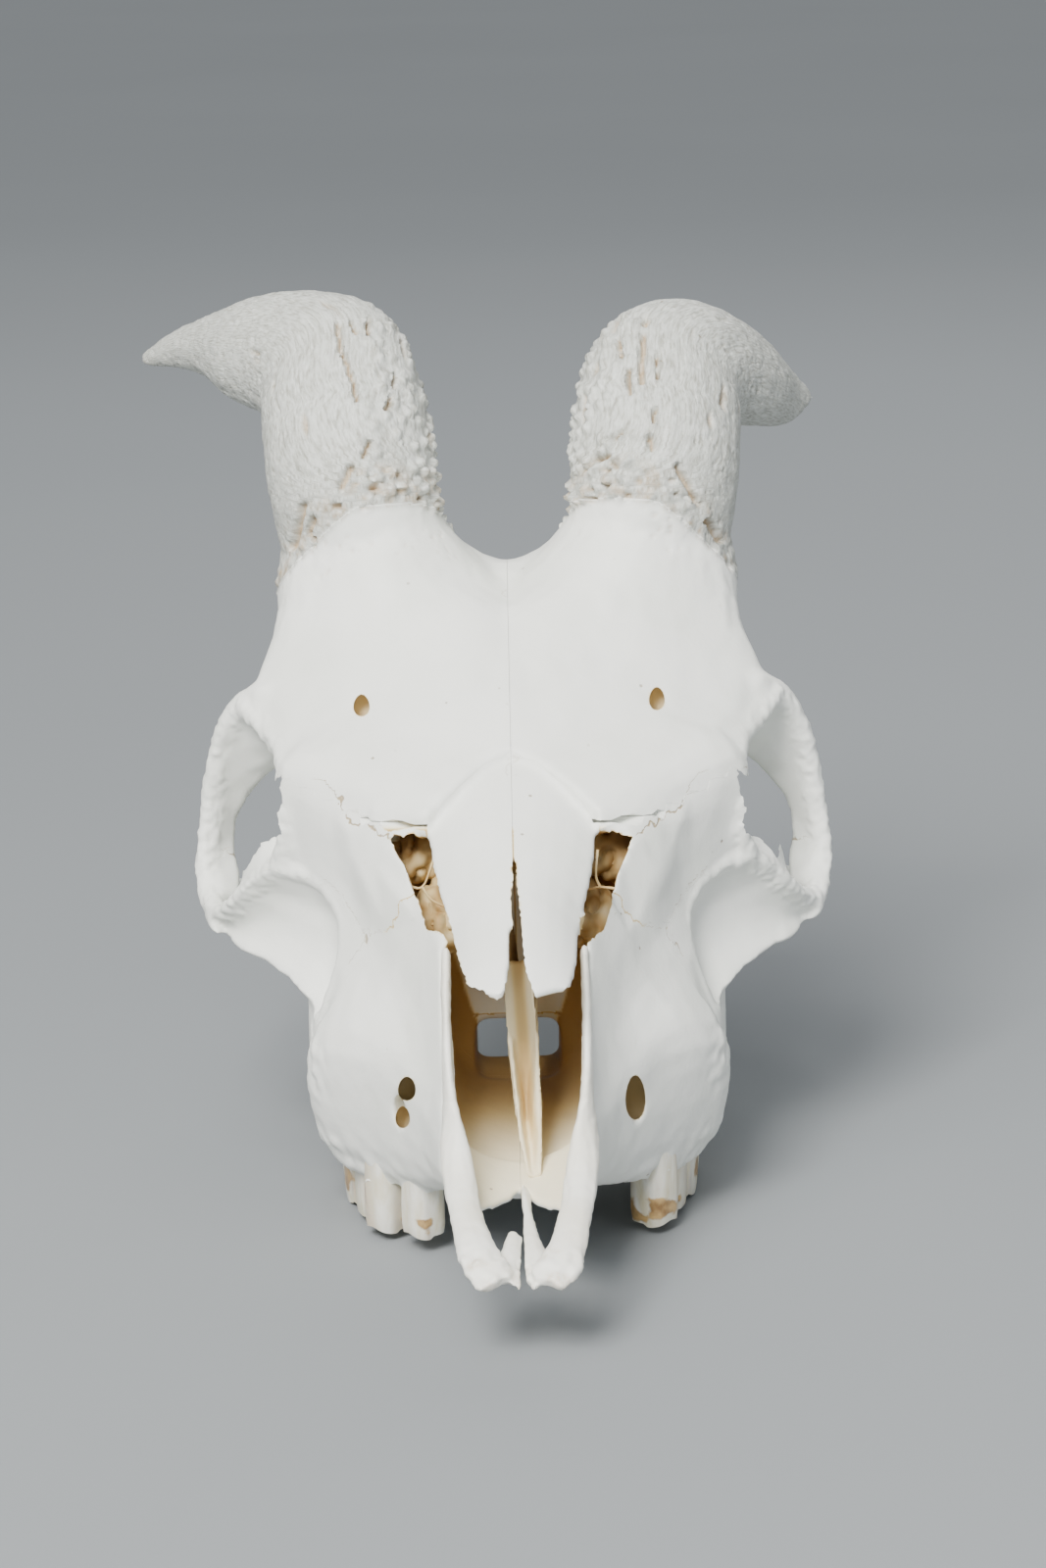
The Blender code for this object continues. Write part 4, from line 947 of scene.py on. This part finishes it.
def crooked(outline, amount):
    """An outline with points every millimetre or so, which zigzag across it by amount."""
    run = []
    for a, b in zip(outline, outline[1:] + outline[:1]):
        a, b = Vector((*a, 0)), Vector((*b, 0))
        count = max(2, int((b - a).length / 1.1)) if amount else 1
        sideways = Vector((-(b - a).y, (b - a).x, 0)).normalized()
        for i in range(count):
            swing = amount * math.sin(2 * math.pi * i / 3.6) * rng.uniform(0.4, 1.3) if 0 < i < count else 0
            run.append(a.lerp(b, i / count) + sideways * swing)
    return run


def shoelace(outline):
    """The area inside an outline."""
    pairs = zip(outline, outline[1:] + outline[:1])
    return abs(sum(a.x * b.y - b.x * a.y for a, b in pairs)) / 2


def block(outline, low, high, grow=0.0):
    """A bar along x with a given outline, grown by a hair where asked."""
    count = len(outline)
    middle = []
    for i, p in enumerate(outline):
        along = (outline[(i + 1) % count] - outline[i - 1]).normalized()
        middle.append(p + Vector((along.y, -along.x, 0)) * grow)
    if grow and shoelace(middle) < shoelace(outline):
        middle = [2 * p - q for p, q in zip(outline, middle)]
    return loft("block", [[(x, p.x, p.y) for p in middle] for x in (low - grow, high + grow)])


def horn_space(side, grow=0.0):
    """The space of one horn core, above its folded base."""
    axis = Vector((0.15 * side, 0.62, 0.77)).normalized()
    middle = Vector((31 * side, 149.5, 119.5))
    wide = Vector((side, 0, 0))
    wide = (wide - wide.dot(axis) * axis).normalized()
    deep = axis.cross(wide) * side
    turn = [2 * math.pi * i / 24 for i in range(24)]
    rings = []
    for radius in (0.5, 24 + grow):
        plan = [(31 + radius * math.cos(a), 153 + radius * math.sin(a)) for a in turn]
        rings.append([(side * x, y, horn_base(x, y) - 1.3 * grow) for x, y in plan])
    for height, radius in ((34, 50 + grow), (120, 110)):
        rings.append([middle + axis * height + (wide * math.cos(a) + deep * math.sin(a)) * radius
                      for a in turn])
    return loft("horn_space", rings)


def nasal_space(side, grow=0.0):
    """The space of one nasal bone, seen from above."""
    half = [(SEAM - grow, 20), (11.95 + grow, 20), (11.95 + grow, 58), (12.5 + grow, 66), (14.6 + grow, 70),
            (17.4 + grow, 77), (19.8, 82), (16.4 + grow, 88.8), (10.3 + grow, 94.4 + grow),
            (5.1 + grow, 98.9 + grow), (SEAM - grow, 101 + grow)]
    return loft("nasal_space", [[(side * x, y, z) for x, y in half] for z in (50, 110)])


# %% Part the skin into bones


def part_off(rest, name, space):
    """One bone as its own piece: the largest closed surface of what lies in its space."""
    bone = rest.copy()
    bone.data = rest.data.copy()
    bone.name = name
    bpy.context.scene.collection.objects.link(bone)
    cut(bone, space, "INTERSECT")
    return keep_largest(bone)


def keep_largest(obj):
    """Drops loose scraps of a mesh."""
    form = bmesh.new()
    form.from_mesh(obj.data)
    left = set(form.verts)
    best = []
    while left:
        todo = [left.pop()]
        island = []
        while todo:
            vert = todo.pop()
            island.append(vert)
            for edge in vert.link_edges:
                other = edge.other_vert(vert)
                if other in left:
                    left.discard(other)
                    todo.append(other)
        best = max(best, island, key=len)
    kept = set(best)
    scraps = [v for v in form.verts if v not in kept]
    bmesh.ops.delete(form, geom=scraps, context="VERTS")
    form.to_mesh(obj.data)
    form.free()
    return obj


bones = {}
for name, side in SIDES:
    bones["horn_core_" + name] = part_off(skin, "core_" + name, horn_space(side))
    cut(skin, horn_space(side, SEAM))
for name, side in SIDES:
    bones["nasal_" + name] = part_off(skin, "nose_roof_" + name, nasal_space(side))
    cut(skin, nasal_space(side, SEAM))
for bone, paired, low, high, zigzag, outline in BLOCKS:
    outline = crooked(outline, zigzag)
    for name, side in SIDES if paired else (("", 1),):
        start, end = sorted((side * low, side * high))
        node = bone + "_" + name if paired else bone
        bones[node] = part_off(skin, node + "_bone", block(outline, start, end))
    if bone == BLOCKS[-1][0]:
        continue
    # Both sides come off the rest in one cut: as two blocks, or as one where they meet in the middle.
    ends = [sorted((side * low, side * high)) for _, side in SIDES] if low > SEAM else [(-high, high)]
    cut(skin, joined(*[block(outline, start, end, SEAM) for start, end in ends]))
bpy.data.objects.remove(skin, do_unlink=True)
print("parted after", round(time.time() - START, 1), "s")

# %% [markdown]
# Inside the nose the bone goes from cream at the front to ochre at the back. The hollow is known by its
# floor, roof and half width along the skull, so each vertex in it that faces inwards is painted.

# %% Paint the nose's inside and the cut edges
# The hollow of the nose: y, its floor, its roof and its half width.
CAVITY = np.array([(6, 31, 60, 10.5), (26, 26.5, 62, 11), (42, 24.5, 66, 12), (54, 23.8, 72, 14),
                   (66, 22.8, 76, 18), (78, 21.5, 80, 23), (90, 20, 83, 25), (98, 16, 81, 23),
                   (108, 2, 60, 12), (150, -14, 30, 10)])


def paint_inside(mesh):
    points = in_skull(mesh)
    out = normals_in_skull(mesh)
    floor_z, roof_z, half_x = [np.interp(points[:, 1], CAVITY[:, 0], CAVITY[:, k]) for k in (1, 2, 3)]
    depth = np.minimum(half_x + 1 - np.abs(points[:, 0]),
                       np.minimum(points[:, 2] - floor_z + 1, roof_z - points[:, 2] + 1))
    centre = np.stack([np.zeros(len(points)), points[:, 1] + 4, (floor_z + roof_z) / 2], axis=1)
    facing = ((centre - points) * out).sum(axis=1)
    kept, edge = [read(mesh.attributes[k].data, "value", -1) for k in ("kept", "edge")]
    inside = fade(depth, -1.2, 0.4) * np.maximum(fade(facing, -1, 2), 1 - kept)
    inside *= fade(points[:, 1], 126, 114) * fade(as_seen(points)[1], -7.8, -9.4)
    tone = 0.3 + 0.6 * fade(points[:, 1], 46, 98) + 0.15 * fade(points[:, 2], 50, 72)
    hole = 0.5 * edge * fade(np.abs(points[:, 0]), 14, 17) * fade(np.abs(points[:, 0]), 38, 34)
    hole *= np.maximum(fade(points[:, 1], 74, 72), fade(points[:, 1], 112, 114))
    paint(mesh, "inner", np.maximum(inside * np.clip(tone, 0, 1), hole))


def dress(piece, node, material):
    """Gives a piece its material and smooth shading, keeps it inside the imported model's box, puts it under its
    body, and hides the CAD node that it stands for.
    """
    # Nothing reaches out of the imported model's box.
    places = np.clip(read(piece.data.vertices, "co", (-1, 3)), CAD_LOW, CAD_HIGH)
    piece.data.vertices.foreach_set("co", places.ravel())
    piece.data.update()
    piece.data.materials.clear()
    piece.data.materials.append(material)
    only(piece)
    bpy.ops.object.shade_smooth_by_angle(angle=math.radians(50))
    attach(piece, "root")
    if node:
        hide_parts(node)


for node, bone in bones.items():
    paint_inside(bone.data)
    dress(bone, node, bleached_bone)
    print(node, "triangles:", sum(len(p.vertices) - 2 for p in bone.data.polygons))

# %% [markdown]
# The premaxillae and the vomer are thin, so they are remade in finer cells. The vomer gets its front
# leaf: a long shallow trough, cream with an ochre middle.

# %% The snout's thin bones
VOMER_LEAF = [(0.4, 66, 60, 2.7), (0.6, 61.5, 54, 2.9), (1.2, 60, 43, 2.9), (1.9, 56, 33.5, 2.7),
              (2.6, 49.5, 28, 1.9), (3.1, 45.5, 25.8, 0.6)]


def vomer_leaf():
    rings = []
    for x, y, z, half in [(*p, w) for p, w in zip(curve_through([r[:3] for r in VOMER_LEAF], 24), np.interp(
            np.linspace(0, 5, 24), range(6), [r[3] for r in VOMER_LEAF]))]:
        ring = []
        for i in range(9):
            s = -1 + i / 4
            ring.append((x + half * s, y + 1.5 * (1 - s * s) * half / 2.9, z - 0.5 * (1 - s * s)))
        for i in range(8, -1, -1):
            s = -1 + i / 4
            thick = 0.5 + 0.8 * (1 - s * s)
            ring.append((x + half * s, y + thick + 1.5 * (1 - s * s) * half / 2.9, z - 0.5 * (1 - s * s)))
        rings.append(ring)
    return loft("vomer_leaf", rings)


# The palatine processes as seen from the front. The right one is broken short.
PROCESSES = {
    "premaxilla_right": [(-1.8, -86.2), (-0.1, -87.0), (-0.5, -90.7), (-0.7, -97.1), (-4.0, -95.1),
                         (-5.0, -91.1), (-3.3, -87.7)],
    "premaxilla_left": [(-0.1, -76.8), (0.8, -79.8), (2.0, -85.5), (4.0, -89.0), (5.4, -91.1), (5.0, -94.1),
                        (2.0, -97.1), (0.5, -94.1), (0.1, -85.5)]}

for node in ("premaxilla_left", "premaxilla_right", "vomer"):
    piece = copy_of([node], node + "_bone")
    if node == "vomer":
        more = vomer_leaf()
    else:
        more = front_form(ragged(PROCESSES[node], 0.06), 749.6, 752.4,
                          lambda u, v: 1.72 * (v + 96.1))
    fine_skin(joined(piece, more), THIN_CELL, 4)
    points = in_skull(piece.data)
    out = normals_in_skull(piece.data)
    end = fade(points[:, 1], 14, 6) if node != "vomer" else np.zeros(len(points))
    bumps = (0.1 + 0.35 * end) * ripple(points, 1.6, 31) + 0.12 * ripple(points, 5, 33)
    put_back(piece.data, points + out * bumps[:, None])
    paint(piece.data, "stain", 0.35 * end * fade(ripple(points, 3, 32), 0, 0.5))
    if node == "vomer":
        middle = np.interp(points[:, 2], [25.8, 33.5, 43, 60], [3.1, 1.9, 1.2, 0.4])
        tone = 0.42 + 0.35 * fade(np.abs(points[:, 0] - middle), 1.9, 0.4) * fade(points[:, 2], 27, 36)
        paint(piece.data, "inner", tone + 0.3 * fade(points[:, 1], 62, 80))
    dress(piece, node, snout_bone)

# %% [markdown]
# Behind the side openings of the nose sit the scrolls of the ethmoid, as thin as paper, and fine struts
# cross the openings. The scrolls are crumpled shells, and the struts are bent rods.

# %% Scrolls and struts
# Struts: places seen from the front, and their distance.
STRUTS = {"right": [[(-23.0, -18.5), (-21.2, -19.8), (-19.1, -19.6), (-17.4, -15.2), (-16.6, -13.0)],
                    [(-19.3, -19.8), (-17.6, -22.2), (-14.4, -23.8)]],
          "left": [[(12.6, -20.2), (14.8, -19.8), (18.6, -20.2)], [(14.8, -19.8), (14.0, -17.5), (14.3, -12.6)]]}
SCROLLS = {"right": [(-20.5, -13.0, 823, 7.0, 8.0), (-15.5, -25.0, 817, 6.4, 9.0)],
           "left": [(17.0, -12.5, 823, 7.0, 8.0), (12.8, -25.5, 817, 5.6, 9.0)]}


STRUT_DISTANCE = 804.5
STRUT_RADIUS = 0.22


def scroll(across, up, distance, wide, long):
    """A crumpled egg of thin bone."""
    bpy.ops.mesh.primitive_ico_sphere_add(subdivisions=5, radius=1)
    egg = bpy.context.object
    local = read(egg.data.vertices, "co", (-1, 3))
    middle = np.array(seen_from_front(across, up, distance))
    shape = local * np.array([wide, long * 1.15, long * 0.8])
    crease = np.abs(ripple(shape + middle, (3.0, 7.0, 5.0), 51))
    shape *= (1 - 0.22 * (1 - crease) ** 4 + 0.05 * ripple(shape, 2.5, 52))[:, None]
    put_back(egg.data, shape + middle)
    return egg


def rod(places, distance, radius):
    """A bent rod through places seen from the front."""
    line = curve_through([seen_from_front(u, v, distance) for u, v in places], 12)
    rings = []
    for i, p in enumerate(line):
        ahead = (line[min(i + 1, 11)] - line[max(i - 1, 0)]).normalized()
        one = ahead.cross(Vector((0, 1, 0.3))).normalized()
        two = ahead.cross(one)
        thick = radius * (1 + 0.5 * abs(i - 5.5) / 5.5)
        rings.append([p + (one * math.cos(a) + two * math.sin(a)) * thick for a in (0.785 * k for k in range(8))])
    return loft("rod", rings)


for name, side in SIDES:
    parts = [scroll(*s) for s in SCROLLS[name]] + [rod(p, STRUT_DISTANCE, STRUT_RADIUS) for p in STRUTS[name]]
    piece = joined(*parts)
    piece.name = "nose_scrolls_" + name
    points = in_skull(piece.data)
    depth = 1 - 1.3 * np.abs(ripple(points, 3.2, 53))
    paint(piece.data, "inner", 0.55 + 0.35 * depth * (points[:, 1] > 0) + 0.1 * ripple(points, 1.5, 54))
    dress(piece, None, snout_bone)

# %% [markdown]
# A cheek tooth is a column of enamel with ribs on its cheek side, where it is slightly fluted, and worn
# crescents on its chewing end. Tartar sits at the gum line and in the flutes.

# %% Teeth
# Cheek teeth: place, length along the row, width, lobes, turn, and height off the floor.
TEETH = {"p3": (19.2, 64.0, 7.5, 7.5, 1, 35, 3.0), "p4": (26.2, 72.0, 8.0, 8.5, 1, 38, 1.5),
         "m1": (28.0, 82.0, 11.5, 9.5, 2, 18, 1.3), "m2": (30.6, 93.5, 13.5, 10, 2, 8, 0.0),
         "m3": (31.8, 107.5, 15.5, 9.5, 2, -2, 0.0)}
LOST = {"left": ("p3",), "right": ()}
ROOT_HEIGHT = 17.0
TOOTH_POINTS = 72


def floor_height(y):
    """The floor's height in the skull's own frame."""
    return MOLAR_FLOOR.z - math.tan(math.radians(PITCH)) * (y - MOLAR_FLOOR.y)


def tooth(side, x0, y0, length, width, lobes, turn, lift):
    turn = math.radians(turn)
    rings = []
    for share in [0.0, 0.02, 0.05, *np.linspace(0.1, 1, 16)]:
        ring = []
        swell = 0.93 + 0.07 * min(1, share / 0.15) - 0.16 * max(0, share - 0.5)
        for i in range(TOOTH_POINTS):
            a = 2 * math.pi * i / TOOTH_POINTS
            c, s = math.cos(a), math.sin(a)
            across = a if a < math.pi else a - 2 * math.pi
            rib = 0.90 + 0.10 * abs(math.cos(1.6 * lobes * across)) ** 0.5 if c > 0.05 else 1.0
            if c < -0.2:
                rib = 0.93 + 0.07 * abs(math.cos(lobes * (across - math.pi)))
            x = width / 2 * math.copysign(abs(c) ** 0.6, c) * rib * swell
            y = length / 2 * math.copysign(abs(s) ** 0.6, s) * swell
            if share == 0:
                x, y = x * 0.82, y * 0.82
            back = y0 - x * math.sin(turn) + y * math.cos(turn)
            cusp = 1.1 * abs(math.cos(lobes * (across + math.pi / 2))) if c > 0 else 0.5
            tip = floor_height(back) + lift + (1.3 - cusp if share > 0 else 1.5)
            ring.append((side * (x0 + x * math.cos(turn) + y * math.sin(turn)), back,
                         tip + (ROOT_HEIGHT - tip) * max(0, share - 0.02)))
        rings.append(ring)
    return loft("tooth", rings)


for name, side in SIDES:
    row = [tooth(side, *t) for k, t in TEETH.items() if k not in LOST[name]]
    piece = joined(*row)
    piece.name = "teeth_" + name
    points = in_skull(piece.data)
    height = points[:, 2] - np.array([floor_height(y) for y in points[:, 1]])
    band = fade(height, 1.5, 4.5) * fade(height, 10, 6.5) * fade(ripple(points, 4.5, 61), -0.3, 0.5)
    paint(piece.data, "gum", 0.85 * band)
    paint(piece.data, "fold", 0.5 + 0.5 * ripple(points, (3, 3, 14), 62))
    dress(piece, None, tooth_enamel)

# %% Sizes and finish
low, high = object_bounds()
print("CAD size ", [round((b - a) * 1000, 1) for a, b in zip(CAD_LOW, CAD_HIGH)])
print("made size", [round((b - a) * 1000, 1) for a, b in zip(low, high)])
print("all made after", round(time.time() - START, 1), "s")
